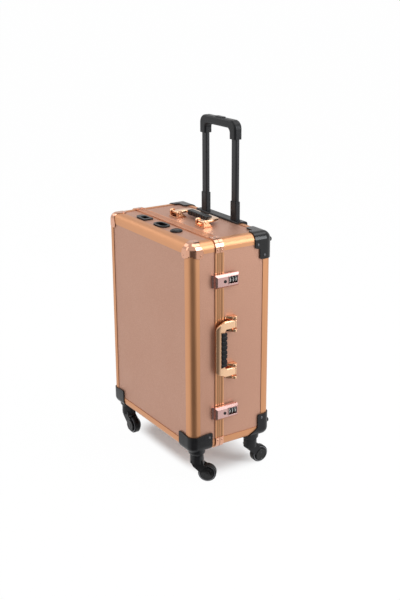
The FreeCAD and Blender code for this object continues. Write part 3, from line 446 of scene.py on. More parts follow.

# %% [markdown]
# ## Anodised profiles and plated fittings
# The edge profiles and the closing frame are extruded aluminium with a fine brushed grain, anodised
# orange-gold, with painted shade in their grooves and joints. The frame has ridges along the extrusion,
# painted dark in their valleys and bright on their crests, and a painted highlight on its top run.
# Corners, clips and handle arms are plated steel, a near mirror, and the lock covers are a pinker, softer
# plate.

# %% Profiles
SATIN, shader = new_finish("satin_gold", linear(220, 163, 120), Metallic=1.0, Roughness=0.42)
lines = place_group(shader, "drawn_lines", Along_X=60.0, Along_Y=60.0, Along_Z=60.0, Scale=30.0)
add_bump(shader, lines, strength=0.02, distance=0.0001)
# The dark joint colour is painted shade in grooves and where the profiles meet other parts.
two_tones(shader, lines, (206, 148, 107), (221, 164, 123), joint=(120, 72, 42), reach=0.003, bite=1.2)
add_handling(shader, scale=5.0, low=0.42, high=0.5)

# %% The closing frame
SEAM_Y, RIDGE_PITCH, RIDGE_END, RIDGE_SHARPNESS = -0.0435, 0.0061, 0.00915, 0.6
TOP_RUN_START, TOP_RUN_END = 0.645, 0.651
RIDGED, shader = new_finish("ridged_gold", linear(224, 166, 122), Metallic=1.0, Roughness=0.34)
xyz = object_xyz(shader)
from_seam = maths("MINIMUM", maths("SUBTRACT", xyz["Y"], SEAM_Y), RIDGE_END)
from_seam = maths("MAXIMUM", from_seam, -RIDGE_END)
wave = maths("SINE", maths("MULTIPLY", from_seam, math.pi / RIDGE_PITCH))
ridge = maths("POWER", maths("ABSOLUTE", wave), RIDGE_SHARPNESS)
add_bump(shader, ridge, strength=0.5, distance=0.0009)
# On the upright faces the ridge valleys are painted dark and the crests bright, as painted shade and
# painted highlight, with painted shade along the seam and joints.
upright = blend(ridge, (112, 66, 36), (236, 178, 134))
upright = darken_joints(upright, (120, 72, 42), reach=0.002, bite=1.0)
# The top run takes a paler pair of tones, a painted highlight where it faces the overhead box.
painted_top_highlight = blend(ridge, (196, 142, 112), (228, 178, 146))
top_highlight_share = map_range(xyz["Z"], TOP_RUN_START, TOP_RUN_END)
feed(shader, Base_Color=blend(top_highlight_share, upright, painted_top_highlight))
add_handling(shader, scale=5.0, low=0.3, high=0.38)

# %% Plated pieces
# Handles and hinges.
POLISHED, shader = new_finish("polished_gold", linear(246, 205, 168), Metallic=1.0, Roughness=0.12)
rough = add_handling(shader, scale=30.0, low=0.08, high=0.18)
grain = place_group(shader, "fine_grain", Scale=160.0)
add_bump(shader, grain, strength=0.03, distance=0.0006, edge=0.003)
# The dark joint colour is painted shade, deepest beside the grips.
two_tones(shader, rough, (244, 200, 162), (248, 210, 174), joint=(176, 92, 46), reach=0.008, bite=1.6)

# Caps and clips.
CORNER, shader = new_finish("corner_gold", linear(228, 170, 130), Metallic=1.0, Roughness=0.14)
rough = add_handling(shader, scale=30.0, low=0.06, high=0.14)
# The dark joint colour is painted shade where caps and clips meet the profiles.
two_tones(shader, rough, (216, 161, 134), (234, 188, 163), joint=(110, 62, 36), reach=0.003, bite=1.3)

# Lock covers.
LOCK_PLATE, shader = new_finish("lock_plate", linear(214, 175, 170), Metallic=1.0, Roughness=0.24)
add_handling(shader, scale=40.0, low=0.2, high=0.3)
add_bump(shader, place_group(shader, "fine_grain", Scale=1500.0), strength=0.06, distance=0.0002)

# %% [markdown]
# ## Black mouldings, rubber, tubes and the inside
# Black is never empty: the mouldings have a fine pebbled grain that catches light at a low angle, the
# tyres are duller, the tubes are satin with lines along their length, and the lining is a woven cloth.

# %% Mouldings and tyres
GLOSSIER, DULLER, DARKER, LIGHTER = 0.06, 0.07, 5, 6


def moulded_black(name, shade, rough, grain_scale, grain_strength, specular):
    """Pebbled plastic or rubber, its shade an sRGB colour."""
    material, shader = new_finish(name, linear(*shade), Roughness=rough, Specular_IOR_Level=specular)
    grain = place_group(shader, "fine_grain", Scale=grain_scale)
    add_bump(shader, grain, grain_strength, distance=0.0003)
    add_handling(shader, scale=22.0, low=rough - GLOSSIER, high=rough + DULLER)
    darker = [value - DARKER for value in shade]
    lighter = [value + LIGHTER for value in shade]
    two_tones(shader, noise(object_place(shader), scale=60.0), darker, lighter)
    return material


BLACK = moulded_black("moulded_black", (22, 22, 24), 0.3, 1100.0, 0.14, specular=0.24)
GLOSS = moulded_black("gloss_black", (14, 14, 15), 0.15, 1600.0, 0.04, specular=0.4)
SOFT_GRIP = moulded_black("soft_grip", (32, 33, 34), 0.3, 1800.0, 0.15, specular=0.42)
RUBBER = moulded_black("tyre_rubber", (16, 16, 17), 0.36, 1500.0, 0.1, specular=0.2)

# %% Tubes, ink and steel
TUBE, shader = new_finish("satin_tube", linear(36, 36, 38), Metallic=0.35, Roughness=0.34,
                          Specular_IOR_Level=0.3)
lines = place_group(shader, "drawn_lines", Along_X=90.0, Along_Y=90.0, Along_Z=1.5, Scale=14.0)
add_bump(shader, lines, strength=0.1, distance=0.0002)
two_tones(shader, lines, (22, 22, 24), (58, 58, 60))

# Warm white ink.
FIGURE, shader = new_finish("printed_figures", linear(226, 222, 216), Roughness=0.5)
rough = add_handling(shader, scale=300.0, low=0.4, high=0.6)
two_tones(shader, rough, (210, 206, 200), (236, 232, 226))

# Blackened steel of screws, pins and wheel rings.
STEEL, shader = new_finish("dark_steel", linear(120, 120, 124), Metallic=1.0, Roughness=0.3)
rough = add_handling(shader, scale=240.0, low=0.22, high=0.4)
two_tones(shader, rough, (96, 96, 100), (146, 146, 150))

# %% The inside
CLOTH, shader = new_finish("lining_cloth", linear(38, 37, 38), Roughness=0.85, Sheen_Weight=0.3)
cells = add_node(shader, "TexVoronoi", distance="CHEBYCHEV")
feed(cells, Vector=object_place(shader), Scale=700.0, Randomness=0.25)
weave = cells.outputs["Distance"]
add_bump(shader, weave, strength=0.5, distance=0.0004)
two_tones(shader, weave, (30, 29, 30), (52, 51, 52))

# The mirror's colour is linear already.
GLASS, shader = new_finish("mirror_glass", (0.86, 0.88, 0.88, 1), Metallic=1.0, Roughness=0.02)
add_handling(shader, scale=6.0, low=0.012, high=0.03)

DIFFUSER, shader = new_finish("lamp_diffuser", linear(240, 238, 232), Roughness=0.35,
                              Subsurface_Weight=0.2, Subsurface_Radius=(0.004, 0.004, 0.004))
add_handling(shader, scale=25.0, low=0.3, high=0.42)

# %% [markdown]
# ## Dressing the frame
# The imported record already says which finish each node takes. A short table maps those names to the
# materials above. Some nodes differ from others of their kind: caps and clips are pinker than the
# handle arms, the closing frame has ridges that the profiles lack, and the guards at the back are
# glossier than the other black mouldings.

# %% Give every node its finish
FINISH = {
    "textured_panel": SKIN, "satin_gold": SATIN, "polished_gold": POLISHED, "lock_metal": LOCK_PLATE,
    "lock_plastic": BLACK, "black_plastic": BLACK, "black_rubber": RUBBER, "black_tube": TUBE,
    "lining_cloth": CLOTH, "mirror_backing": CLOTH, "mirror_glass": GLASS, "lamp_diffuser": DIFFUSER,
}
slot_of = {entry["node"]: entry["material_slot"] for entry in frame["record"]["subparts"]}
OWN_FINISH = {name: CORNER for name in ("lid_corner_caps", "lid_frame_clips", "body_frame_clips")}
OWN_FINISH.update(lid_frame=RIDGED, body_frame=RIDGED, rear_corner_guards=GLOSS)
for name, thing in nodes.items():
    thing.data.materials.clear()
    thing.data.materials.append(OWN_FINISH.get(name, FINISH[slot_of[name]]))
print("dressed", len(nodes), "nodes in", len(set(slot_of.values())), "finishes")

# %% [markdown]
# ## The work bench
# Every small piece below is modelled once, at the origin, and copies of it are then set on the case.
# Some helpers select a piece or its faces and cut it, one finds where a straight line from outside
# meets a node, and one turns a finished mesh into a piece that rides its body.

# %% Bench helpers
X_LEFT, X_RIGHT, X_MIDDLE = -214.0, 206.0, -4.0
Y_FRONT, Y_SPLIT, Y_BACK = -128.5, -43.5, 116.5
Z_BASE, Z_TOP, Z_MIDDLE = 90.0, 650.0, 370.0

# Each side with its way inwards, and each half with its side of the split.
SIDES = ((X_RIGHT, -1), (X_LEFT, 1))
HALVES = (("lid", -1), ("body", 1))
FROM_FRONT, FROM_BACK, FROM_TOP, FROM_LEFT = (0, 1, 0), (0, -1, 0), (0, 0, -1), (1, 0, 0)
SMOOTH_ANGLE, DOUBLE_DISTANCE = math.radians(35), 0.00001
LINE_START, LINE_LENGTH = 60, 120


def clear_bench():
    """Leaves edit mode with nothing selected, so the next operator touches only what it adds."""
    if bpy.context.object and bpy.context.object.mode != "OBJECT":
        bpy.ops.object.mode_set(mode="OBJECT")
    bpy.ops.object.select_all(action="DESELECT")


def take(piece):
    """Selects one piece and nothing else."""
    clear_bench()
    piece.select_set(True)
    bpy.context.view_layer.objects.active = piece


def open_up(piece):
    """Goes to edit mode with the whole of one piece selected."""
    take(piece)
    bpy.ops.object.mode_set(mode="EDIT")
    bpy.ops.mesh.select_all(action="SELECT")


def pick_top(piece, level=0.9):
    """Goes to edit mode and selects the faces that look up."""
    open_up(piece)
    bpy.ops.mesh.select_mode(type="FACE")
    bpy.ops.mesh.select_all(action="DESELECT")
    shape = bmesh.from_edit_mesh(piece.data)
    for face in shape.faces:
        face.select_set(face.normal.z > level)
    bmesh.update_edit_mesh(piece.data)


def round_top(piece, radius, segments):
    """Rounds the edge of the face on top."""
    pick_top(piece)
    bpy.ops.mesh.bevel(offset=radius * MM, segments=segments, affect="EDGES")


def slice_at(piece, place, normal):
    """Cuts new edges into a piece where a plane meets it."""
    open_up(piece)
    bpy.ops.mesh.bisect(plane_co=place, plane_no=normal)
    clear_bench()


def cut_away(piece, block):
    """Takes a block out of a piece with a boolean and throws the block away."""
    cut = piece.modifiers.new("cut", "BOOLEAN")
    cut.operation, cut.solver, cut.object = "DIFFERENCE", "EXACT", block
    take(piece)
    bpy.ops.object.modifier_apply(modifier=cut.name)
    bpy.data.objects.remove(block)


def close_up(piece):
    """Drops the normals a CAD copy came with, merges doubles and turns all faces outwards."""
    take(piece)
    if piece.data.has_custom_normals:
        bpy.ops.mesh.customdata_custom_splitnormals_clear()
    open_up(piece)
    bpy.ops.mesh.remove_doubles(threshold=DOUBLE_DISTANCE)
    bpy.ops.mesh.normals_make_consistent(inside=False)
    clear_bench()
    return piece


def merged_copy(node):
    """A free copy of a CAD node, with its own merged mesh."""
    piece = nodes[node].copy()
    piece.data = nodes[node].data.copy()
    piece.parent = None
    piece.matrix_world = Matrix.Identity(4)
    scene.collection.objects.link(piece)
    return close_up(piece)


def fresh(add, **settings):
    """Adds a primitive at the origin and opens it up."""
    clear_bench()
    add(**settings)
    piece = bpy.context.object
    open_up(piece)
    return piece


def rod(vertices, radius, height):
    """A cylinder that stands on the XY plane, its size in millimetres."""
    add = bpy.ops.mesh.primitive_cylinder_add
    piece = fresh(add, vertices=vertices, radius=radius * MM, depth=height * MM)
    bpy.ops.transform.translate(value=(0, 0, height / 2 * MM))
    return piece


def sized(add, *sizes):
    """A plane or cube brought to a size in millimetres."""
    piece = fresh(add, size=1)
    bpy.ops.transform.resize(value=[size * MM for size in sizes], center_override=(0, 0, 0))
    return piece


def settle(piece, name, body, finish):
    """Names a finished piece, gives it its finish and fixes it to its body."""
    take(piece)
    bpy.ops.object.transform_apply(location=True, rotation=True, scale=True)
    bpy.ops.object.shade_smooth_by_angle(angle=SMOOTH_ANGLE)
    piece.name = piece.data.name = name
    piece.data.materials.clear()
    piece.data.materials.append(finish)
    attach(piece, body)
    print("set", name, "on", body, "with", len(piece.data.polygons), "faces")


def joined(pieces):
    """Joins pieces into one."""
    take(pieces[0])
    for piece in pieces:
        piece.select_set(True)
    if len(pieces) > 1:
        bpy.ops.object.join()
    return bpy.context.object


def set_copies(model, name, places, body, finish):
    """Joins copies of a model, one at each place, into one piece; each copy has its own mesh."""
    copies = []
    for place in places:
        copy = model.copy()
        copy.data = model.data.copy()
        copy.data.transform(place)
        scene.collection.objects.link(copy)
        copies.append(copy)
    settle(joined(copies), name, body, finish)


def move_to(*place):
    """The matrix that moves a model to a place in millimetres."""
    return Matrix.Translation(Vector(place) * MM)


def stand_on(place, out, turn=0.0):
    """The matrix that stands a model on a surface, its Z along the normal."""
    upright = Vector(out).to_track_quat("Z", "Y").to_matrix().to_4x4()
    return Matrix.Translation(place) @ upright @ Matrix.Rotation(turn, 4, "Z")


def landing(node, spot, towards, turn=0.0, sink=0.0):
    """Stands a model where a straight line from outside meets a node, sunk in where asked."""
    towards = Vector(towards)
    start = Vector(spot) * MM - towards * LINE_START * MM
    met, place, _, _ = nodes[node].ray_cast(start, towards, distance=LINE_LENGTH * MM)
    if not met:
        raise ValueError(f"no {node} under {spot}")
    return stand_on(place + towards * sink * MM, -towards, turn)


print("bench ready")

# %% [markdown]
# ## Rivets
# Corner caps and frame clips are held by domed rivets. A rivet head is the cap of a sphere, so a sphere
# is cut by a plane, the lower part is thrown away and the cut is closed.

# %% Model one rivet and set the copies
RIVET_RADIUS, RIVET_CUT = 3.2 * MM, 2 * MM
CAP_INSET, CLIP_INSET, CLIP_OFF = 30, 23, 6.3


def domed_rivet():
    rivet = fresh(bpy.ops.mesh.primitive_uv_sphere_add, segments=20, ring_count=14, radius=RIVET_RADIUS)
    bpy.ops.mesh.bisect(plane_co=(0, 0, RIVET_CUT), plane_no=(0, 0, 1), use_fill=True, clear_inner=True)
    bpy.ops.mesh.select_all(action="SELECT")
    bpy.ops.transform.translate(value=(0, 0, -RIVET_CUT))
    return close_up(rivet)


rivet = domed_rivet()
node, places = "lid_corner_caps", []
y, z = Y_FRONT + CAP_INSET, Z_TOP - CAP_INSET
for edge, inward in SIDES:
    x = edge + CAP_INSET * inward
    places.append(landing(node, (x, Y_FRONT, z), FROM_FRONT))
    places.append(landing(node, (edge, y, z), (inward, 0, 0)))
    places.append(landing(node, (x, y, Z_TOP), FROM_TOP))
set_copies(rivet, "corner_cap_rivets", places, "lid", CORNER)
for half, side in HALVES:
    node, places = half + "_frame_clips", []
    y = Y_SPLIT + CLIP_OFF * side
    for edge, inward in SIDES:
        for end, way in ((Z_TOP, -1), (Z_BASE, 1)):
            places.append(landing(node, (edge, y, end + CLIP_INSET * way), (inward, 0, 0)))
            places.append(landing(node, (edge + CLIP_INSET * inward, y, end), (0, 0, way)))
    set_copies(rivet, half + "_clip_rivets", places, half, CORNER)

# %% [markdown]
# ## Hinge rivets
# The three hinges on the far side carry two small rivets on each leaf. The same rivet serves again.

# %% Rivets on the hinge leaves
HINGE_LEVELS, HINGE_LIFT, HINGE_OFF = (180, 370, 560), 16, 8.2
for half, side in HALVES:
    node, y = f"hinge_{half}_leaves", Y_SPLIT + HINGE_OFF * side
    levels = [z + HINGE_LIFT * way for z in HINGE_LEVELS for way in (-1, 1)]
    places = [landing(node, (X_LEFT, y, z), FROM_LEFT) for z in levels]
    set_copies(rivet, half + "_hinge_rivets", places, half, POLISHED)

# %% [markdown]
# ## Screws
# The black mouldings are screwed on. The head starts as a short cylinder whose upper edge is rounded,
# and two thin blocks are taken out of it crosswise with a boolean.

# %% Model one cross-head screw
SCREW_RADIUS, SCREW_HEIGHT, SCREW_ROUNDING = 3.4, 2.4, 1.0
CROSS_LENGTH, CROSS_WIDTH, CROSS_BLOCK = 4.2, 1.0, 1.6


def cross_screw():
    screw = rod(24, SCREW_RADIUS, SCREW_HEIGHT)
    round_top(screw, SCREW_ROUNDING, segments=3)
    for wide, deep in ((CROSS_LENGTH, CROSS_WIDTH), (CROSS_WIDTH, CROSS_LENGTH)):
        block = sized(bpy.ops.mesh.primitive_cube_add, wide, deep, CROSS_BLOCK)
        bpy.ops.transform.translate(value=(0, 0, SCREW_HEIGHT * MM))
        clear_bench()
        cut_away(screw, block)
    screw.data.transform(move_to(0, 0, -SCREW_HEIGHT / 2))
    return screw


screw = cross_screw()
print("screw with", len(screw.data.polygons), "faces")

# %% [markdown]
# A screw stops wherever it is tight, so the crosses are turned to different angles, in radians.

# %% Set the screws in the mouldings
EAR_HEIGHT, EAR_SIDE, EAR_FRONT, EAR_SINK = Z_BASE + 37, 53, 50, 1.25
REAR_HEIGHT, REAR_INSET = Z_BASE + 52, 26
GUARD_NEAR, GUARD_LOW, GUARD_FAR, GUARD_HIGH = 24, 57, 44, 28
HOUSING_OUT, HOUSING_Y, HOUSING_Z = 93, 102, Z_TOP + 3

front, rear, guard = [], [], []
for edge, inward in SIDES:
    side_on, lean = (inward, 0, 0), 0.4 * inward
    node, x = "front_caster_brackets", edge + EAR_FRONT * inward
    front.append(landing(node, (edge, Y_FRONT + EAR_SIDE, EAR_HEIGHT), side_on, turn=lean))
    front.append(landing(node, (x, Y_FRONT, EAR_HEIGHT), FROM_FRONT, turn=0.9, sink=EAR_SINK))
    node, x = "rear_caster_brackets", edge + REAR_INSET * inward
    rear.append(landing(node, (edge, Y_BACK - REAR_INSET, REAR_HEIGHT), side_on, turn=0.2))
    rear.append(landing(node, (x, Y_BACK, REAR_HEIGHT), FROM_BACK, turn=lean))
    node, x = "rear_corner_guards", edge + GUARD_NEAR * inward
    guard.append(landing(node, (edge, Y_BACK - GUARD_NEAR, Z_TOP - GUARD_LOW), side_on, turn=0.438))
    guard.append(landing(node, (edge, Y_BACK - GUARD_FAR, Z_TOP - GUARD_HIGH), side_on, turn=0.0177))
    guard.append(landing(node, (x, Y_BACK, Z_TOP - GUARD_LOW), FROM_BACK, turn=0.7))
    guard.append(landing(node, (x, Y_BACK - GUARD_FAR, Z_TOP), FROM_TOP, turn=0.1))
housing = [landing("pull_housing", (X_MIDDLE + HOUSING_OUT * way, HOUSING_Y, HOUSING_Z), FROM_TOP, turn=0.5)
           for way in (-1, 1)]
for name, body, places in (("front_bracket_screws", "lid", front), ("rear_bracket_screws", "body", rear),
                           ("guard_screws", "body", guard), ("housing_screws", "body", housing)):
    set_copies(screw, name, places, body, STEEL)

# %% [markdown]
# ## Figures on the number wheels
# Each dial has ten flats, one figure on each, so turning it by a tenth of a turn brings up the next one.
# The figures are made as text, turned into meshes and laid on the flats: right is along the axle, up is
# round the drum, and out is away from the axle. One ring of ten is built and copied to the six dials.

# %% Ten figures round a drum
LOCKS = {"upper": 548.0, "lower": 192.0}
DIAL_X, DIAL_FLAT, DIAL_PITCH, DIAL_MIDDLE, DIAL_LIFT = 215.5, 8.084, 8.5, -13.4, 2
FIGURE_SIZE, FIGURE_HEIGHT, FIGURE_BOLDNESS = 6.2 * MM, 0.05 * MM, 0.06 * MM


def one_figure(number):
    """A figure as a thin mesh, centred on the origin and facing +Z."""
    clear_bench()
    bpy.ops.object.text_add()
    words = bpy.context.object.data
    words.body = str(number)
    words.size = FIGURE_SIZE
    words.extrude = FIGURE_HEIGHT
    words.offset = FIGURE_BOLDNESS
    words.resolution_u = 3
    words.align_x, words.align_y = "CENTER", "CENTER"
    bpy.ops.object.convert(target="MESH")
    return bpy.context.object


ring = []
for number in range(10):
    angle = math.tau * number / 10
    along, up = Vector((0, 1, 0)), Vector((-math.sin(angle), 0, math.cos(angle)))
    out = along.cross(up)
    turned = Matrix((along, up, out)).transposed().to_4x4()
    figure = one_figure(number)
    figure.data.transform(Matrix.Translation(out * DIAL_FLAT * MM) @ turned)
    ring.append(figure)
figure_ring = joined(ring)
print("ring of figures:", len(figure_ring.data.polygons), "faces")

# %% Copy the ring to the six dials
for lock, z in LOCKS.items():
    for number, step in enumerate((-1, 0, 1), start=1):
        place = move_to(DIAL_X, DIAL_MIDDLE + DIAL_PITCH * step, z + DIAL_LIFT)
        dial = f"{lock}_lock_dial_{number}"
        set_copies(figure_ring, dial + "_figures", [place], dial, FIGURE)

# %% [markdown]
# ## The saddle of the front brackets
# Between its two ears the front caster bracket reaches well up the corner profile, higher than in the
# mechanical model. On a merged copy the points of the upper rim are drawn up towards the tops of the
# ears, the low ones most, and because the shell is upright there it simply grows along the profile.

# %% Raise the saddle between the ears
EAR_TOP, RIM_START, SADDLE_RISE = 138.0 * MM, 106.0 * MM, 0.75
brackets = merged_copy("front_caster_brackets")
for corner in brackets.data.vertices:
    if corner.co.z > RIM_START:
        corner.co.z += (EAR_TOP - corner.co.z) * SADDLE_RISE
settle(brackets, "saddled_front_brackets", "lid", BLACK)
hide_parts("front_caster_brackets")

# %% [markdown]
# ## Bevelled lock levers
# On the real locks the long edges of the lever are bevelled broadly, and the upper bevel catches the
# light from above. A slanting block is taken off both edges of a copy of each lever with a boolean.

# %% Bevel the long edges of the levers
LEVER_FACE, LEVER_MIDDLE, LEVER_HALF = 223.0, -28.4, 12.0
BLOCK_SIZE, BEVEL_OUT, BEVEL_UP = (30, 100, 12), 0.66, 0.75


def bevelled_lever(node, z):
    lever = merged_copy(node)
    for up in (1, -1):
        block = sized(bpy.ops.mesh.primitive_cube_add, *BLOCK_SIZE)
        clear_bench()
        out, along = Vector((BEVEL_OUT, 0, BEVEL_UP * up)).normalized(), Vector((0, 1, 0))
        slant = Matrix((along.cross(out), along, out)).transposed().to_4x4()
        edge = Vector((LEVER_FACE, LEVER_MIDDLE, z + LEVER_HALF * up))
        block.data.transform(move_to(*(edge + out * BLOCK_SIZE[2] / 2)) @ slant)
        cut_away(lever, block)
    return lever


for lock, z in LOCKS.items():
    node = lock + "_lock_lever"
    lever = bevelled_lever(node, z)
    settle(lever, lock + "_bevelled_lever", node, LOCK_PLATE)
    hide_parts(node)

# %% [markdown]
# ## Lock bezels
# A raised rim of the lever's own metal lines its dial window. It starts as a plane, gets an inset, loses
# its middle and is pulled up to a thin frame with softened edges.

# %% Frame the dial windows
SOFT_EDGE = 0.25 * MM


def window_frame(wide, tall, rim, thick, corner):
    """A flat frame with rounded corners on the XY plane, its outer size given."""
    piece = sized(bpy.ops.mesh.primitive_plane_add, wide, tall, 1)
    bpy.ops.mesh.bevel(offset=corner * MM, segments=6, affect="VERTICES")
    bpy.ops.mesh.select_all(action="SELECT")
    bpy.ops.mesh.inset(thickness=rim * MM, depth=0)
    bpy.ops.mesh.delete(type="FACE")
    bpy.ops.mesh.select_all(action="SELECT")
    bpy.ops.mesh.extrude_region_move(TRANSFORM_OT_translate={"value": (0, 0, thick * MM)})
    close_up(piece)
    soften = piece.modifiers.new("soften", "BEVEL")
    soften.width, soften.segments, soften.limit_method = SOFT_EDGE, 2, "ANGLE"
    take(piece)
    bpy.ops.object.modifier_apply(modifier=soften.name)
    return piece


bezel = window_frame(wide=29.6, tall=22.0, rim=1.8, thick=0.7, corner=1.6)
for lock, z in LOCKS.items():
    facing = stand_on(Vector((LEVER_FACE, DIAL_MIDDLE, z + DIAL_LIFT)) * MM, (1, 0, 0))
    set_copies(bezel, lock + "_lock_bezel", [facing], lock + "_lock_lever", LOCK_PLATE)

# %% [markdown]
# ## Caster hub covers
# Each fork cheek ends in a round cover over the axle. A disc is inset, the part inside is pressed in and
# its middle raised again, so the rim catches a thin line of light as on the real wheel.

# %% Model one hub cover and set two on each fork
# For each caster: x and y of its swivel, and its fork's heading in degrees.
CASTERS = {"front_right": (181.0, -97.5, 50), "front_left": (-189.0, -97.5, 2),
           "rear_right": (181.0, 73.5, 88), "rear_left": (-189.0, 73.5, 60)}
AXLE_HEIGHT, CASTER_TRAIL, CHEEK_OUT, WHEEL_OUT = 24.0, 28, 13, 9
COVER_RADIUS, COVER_HEIGHT, COVER_ROUNDING = 15.6, 1.6, 0.6

# The insets of a cover from rim to middle: width and rise.
COVER_STEPS = ((2.2, 0), (0.8, -0.7), (5.0, 0), (0.9, 0.8))


def beside_wheel(caster, off):
    """The two places beside a wheel, at a distance from its middle, that face away from it."""
    x, y, heading = CASTERS[caster]
    angle = math.radians(heading)
    ahead = Vector((math.cos(angle), math.sin(angle), 0))
    across = Vector((-math.sin(angle), math.cos(angle), 0))
    hub = Vector((x, y, AXLE_HEIGHT)) + ahead * CASTER_TRAIL
    return [stand_on((hub + across * off * way) * MM, across * way) for way in (-1, 1)]


def hub_cover():
    cover = rod(48, COVER_RADIUS, COVER_HEIGHT)
    round_top(cover, COVER_ROUNDING, segments=3)
    pick_top(cover, level=0.99)
    for wide, rise in COVER_STEPS:
        bpy.ops.mesh.inset(thickness=wide * MM, depth=rise * MM)
    return close_up(cover)


cover = hub_cover()
for caster in CASTERS:
    places = beside_wheel(caster, CHEEK_OUT)
    set_copies(cover, caster + "_hub_covers", places, caster + "_fork", GLOSS)

# %% [markdown]
# ## Raised rings on the wheels
# Outside the hub cover each wheel has a raised metal ring near its tread, which shows as a bright
# crescent beside the fork. A small rectangle with softened corners is spun about the axle, once, and
# copied to both sides of the four wheels.

# %% Spin one ring and set two on each wheel
RING_SOFTENING = 0.3 * MM


def spun_ring(radius, wide, high):
    """A ring of rectangular section with softened edges, spun about Z."""
    piece = sized(bpy.ops.mesh.primitive_plane_add, wide, high, 1)
    bpy.ops.mesh.bevel(offset=RING_SOFTENING, segments=2, affect="VERTICES")
    bpy.ops.mesh.select_all(action="SELECT")
    bpy.ops.transform.rotate(value=math.pi / 2, orient_axis="X", center_override=(0, 0, 0))
    bpy.ops.transform.translate(value=(radius * MM, 0, high / 2 * MM))
    bpy.ops.mesh.spin(steps=48, angle=math.tau, center=(0, 0, 0), axis=(0, 0, 1), use_auto_merge=True)
    return close_up(piece)


wheel_ring = spun_ring(radius=20.2, wide=2.4, high=0.8)
for caster in CASTERS:
    places = beside_wheel(caster, WHEEL_OUT)
    set_copies(wheel_ring, caster + "_wheel_rings", places, caster + "_wheel", STEEL)

# %% [markdown]
# ## Ribbed grips
# The carry grips are soft mouldings with rounded ribs for the fingers. The grip's own mesh is copied and
# merged, cut across at even steps, and every second band of its outer skin is drawn inwards a little,
# so the ribs stay within the grip's size and the channel for the bail is left as it is.

# %% Cut grooves into copies of the grips
RIB_PITCH, RIB_STEPS, GROOVE, GROOVE_DEPTH = 12.4, range(-3, 4), 4.8, 1.6
GRIP_SKIN = Vector((1, 1, 1)) * 2.6 * MM


def ribbed_grip(node, along, lip, middle):
    """along is the grip's axis, and lip the sign of Y on the side that keeps its depth."""
    grip = merged_copy(node)
    low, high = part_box(node)
    core_low, core_high = Vector(low) + GRIP_SKIN, Vector(high) - GRIP_SKIN
    axis = Vector([float(i == along) for i in range(3)])
    others = [i for i in range(3) if i != along]
    grooves = [(middle + RIB_PITCH * step) * MM for step in RIB_STEPS]
    for groove in grooves:
        for edge in (-GROOVE / 2, -GROOVE / 6, GROOVE / 6, GROOVE / 2):
            slice_at(grip, axis * (groove + edge * MM), axis)
    for corner in grip.data.vertices:
        spot = corner.co
        near = min(abs(spot[along] - groove) for groove in grooves)
        skin = any(spot[i] < core_low[i] or spot[i] > core_high[i] for i in others)
        if not skin or near >= GROOVE / 3 * MM:
            continue
        for i in others:
            half = (high[i] - low[i]) / 2
            share = (spot[i] - (core_low[i] + core_high[i]) / 2) / half
            if i != 1 or share * lip < 0:
                spot[i] -= share * GROOVE_DEPTH * MM
    return close_up(grip)


for body, along, lip, middle, finish in (("side_handle", 2, -1, 366.0, BLACK),
                                         ("top_handle", 0, 1, X_MIDDLE, SOFT_GRIP)):
    grip = ribbed_grip(body + "_grip", along, lip, middle)
    settle(grip, body + "_ribbed_grip", body, finish)
    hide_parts(body + "_grip")

# %% [markdown]
# ## Broad bails
# The handle arms are stamped from wide plate: beyond the grip the bar goes on as a broad strip that
# slopes down towards the case. On a copy of each bail the outer half of the bar is drawn out, a crease
# is cut beside the grip, and what lies beyond the crease is lowered evenly.

# %% Draw out the bars of the bails
# For each handle: body, sign of Y on the bar's side, and the axis that leads away from the case.
HANDLES = (("side_handle", -1, 0), ("top_handle", 1, 2))
BAR_HALF, BAR_GROWTH, CREASE_INSET, STRIP_DROP = 8.0 * MM, 2.4, 2.0 * MM, 0.7 * MM


def broad_bail(node, way, rise):
    bail = merged_copy(node)
    low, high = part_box(node)
    edge = high[1] if way > 0 else low[1]
    fold, crease = edge - BAR_HALF * way, edge - CREASE_INSET * way
    for corner in bail.data.vertices:
        past = max(0.0, (corner.co.y - fold) * way)
        corner.co.y += past * (BAR_GROWTH - 1) * way
    slice_at(bail, (0, crease, 0), (0, 1, 0))
    strip = BAR_HALF * (BAR_GROWTH - 1) + CREASE_INSET
    for corner in bail.data.vertices:
        past = max(0.0, (corner.co.y - crease) * way)
        if corner.co[rise] > (low[rise] + high[rise]) / 2:
            corner.co[rise] -= past / strip * STRIP_DROP
    return close_up(bail)


for body, way, rise in HANDLES:
    bail = broad_bail(body + "_bail", way, rise)
    settle(bail, body + "_broad_bail", body, POLISHED)
    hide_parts(body + "_bail")

# %% [markdown]
# ## Gussets on the handle brackets
# The ears of the handle brackets are wedges: broad where they stand on the case and narrow at the pin.
# On a copy of each node the foot of the ears is drawn out on the side of the bar, and the foot plate
# with it, so that the front edge of each ear becomes a slope.

# %% Draw out the feet of the brackets
FOOT_HEIGHT, FOOT_START, GUSSET_REACH = 4.0 * MM, 4.0 * MM, 12.0 * MM


def wedge_brackets(node, way, rise):
    brackets = merged_copy(node)
    low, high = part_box(node)
    pin_line = (low[1] + high[1]) / 2
    for corner in brackets.data.vertices:
        at_foot = corner.co[rise] < low[rise] + FOOT_HEIGHT
        if at_foot and (corner.co.y - pin_line) * way > FOOT_START:
            corner.co.y += GUSSET_REACH * way
    return close_up(brackets)


for handle, way, rise in HANDLES:
    brackets = wedge_brackets(handle + "_brackets", way, rise)
    settle(brackets, handle + "_wedge_brackets", "body", POLISHED)
    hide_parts(handle + "_brackets")

# %% [markdown]
# ## Pins and rings in the lid's fittings
# A mains inlet has three flat pins, the oval socket has two round ones, and the round port is shut by a
# cap with a raised ring to hold it by. Flat pins start as blocks with a bevelled tip, round ones as rods
# with a rounded end, and the ring is spun like the ones on the wheels.

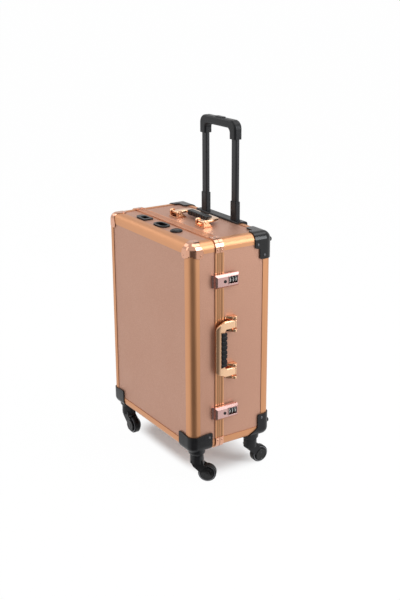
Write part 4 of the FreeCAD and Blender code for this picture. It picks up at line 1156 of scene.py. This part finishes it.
# %% Flat and round pins
FITTINGS_Y, INLET_FLOOR, SOCKET_FLOOR = -81.5, 629.5, 638.5
FLAT_PIN, FLAT_TIP = (2, 6, 12), 0.7
ROUND_RADIUS, ROUND_LENGTH, ROUND_TIP = 1.3, 8, 0.9

# Flat pins: x, distance off the middle line, turn in degrees. Round pins: x.
INLET_PINS = ((-101, 0, 0), (-90, 4, 90), (-90, -4, 90))
SOCKET_PINS = (-11.3, -2.7)


def flat_pin():
    pin = sized(bpy.ops.mesh.primitive_cube_add, *FLAT_PIN)
    bpy.ops.transform.translate(value=(0, 0, FLAT_PIN[2] / 2 * MM))
    round_top(pin, FLAT_TIP, segments=2)
    return close_up(pin)


def round_pin():
    pin = rod(20, ROUND_RADIUS, ROUND_LENGTH)
    round_top(pin, ROUND_TIP, segments=3)
    return close_up(pin)


blade = flat_pin()
places = [move_to(x, FITTINGS_Y + off, INLET_FLOOR) @ Matrix.Rotation(math.radians(turn), 4, "Z")
          for x, off, turn in INLET_PINS]
set_copies(blade, "inlet_pins", places, "lid", STEEL)
pin = round_pin()
places = [move_to(x, FITTINGS_Y, SOCKET_FLOOR) for x in SOCKET_PINS]
set_copies(pin, "socket_pins", places, "lid", STEEL)

# %% A ring on the port cap
PORT_X, PORT_CAP_TOP = 66, 653.0
cap_ring = spun_ring(radius=10.5, wide=1.6, high=0.8)
place = move_to(PORT_X, FITTINGS_Y, PORT_CAP_TOP)
set_copies(cap_ring, "port_cap_ring", [place], "lid", GLOSS)

# %% [markdown]
# ## Trim inside the lid
# The mirror is held by a narrow gold frame with rounded corners. The function that made the lock bezels
# makes it too.

# %% Mirror trim
MIRROR_FACE = -99.5
trim = window_frame(wide=260, tall=410, rim=5, thick=1.6, corner=12)
facing = move_to(X_MIDDLE, MIRROR_FACE, Z_MIDDLE) @ Matrix.Rotation(-math.pi / 2, 4, "X")
set_copies(trim, "mirror_trim", [facing], "lid", SATIN)

# %% [markdown]
# ## The end of the lesson
# The models that were copied leave the bench. The pieces that were added must not make the object larger.

# %% Clear the bench
for model in (rivet, screw, figure_ring, bezel, cover, wheel_ring, blade, pin, cap_ring, trim):
    bpy.data.objects.remove(model)
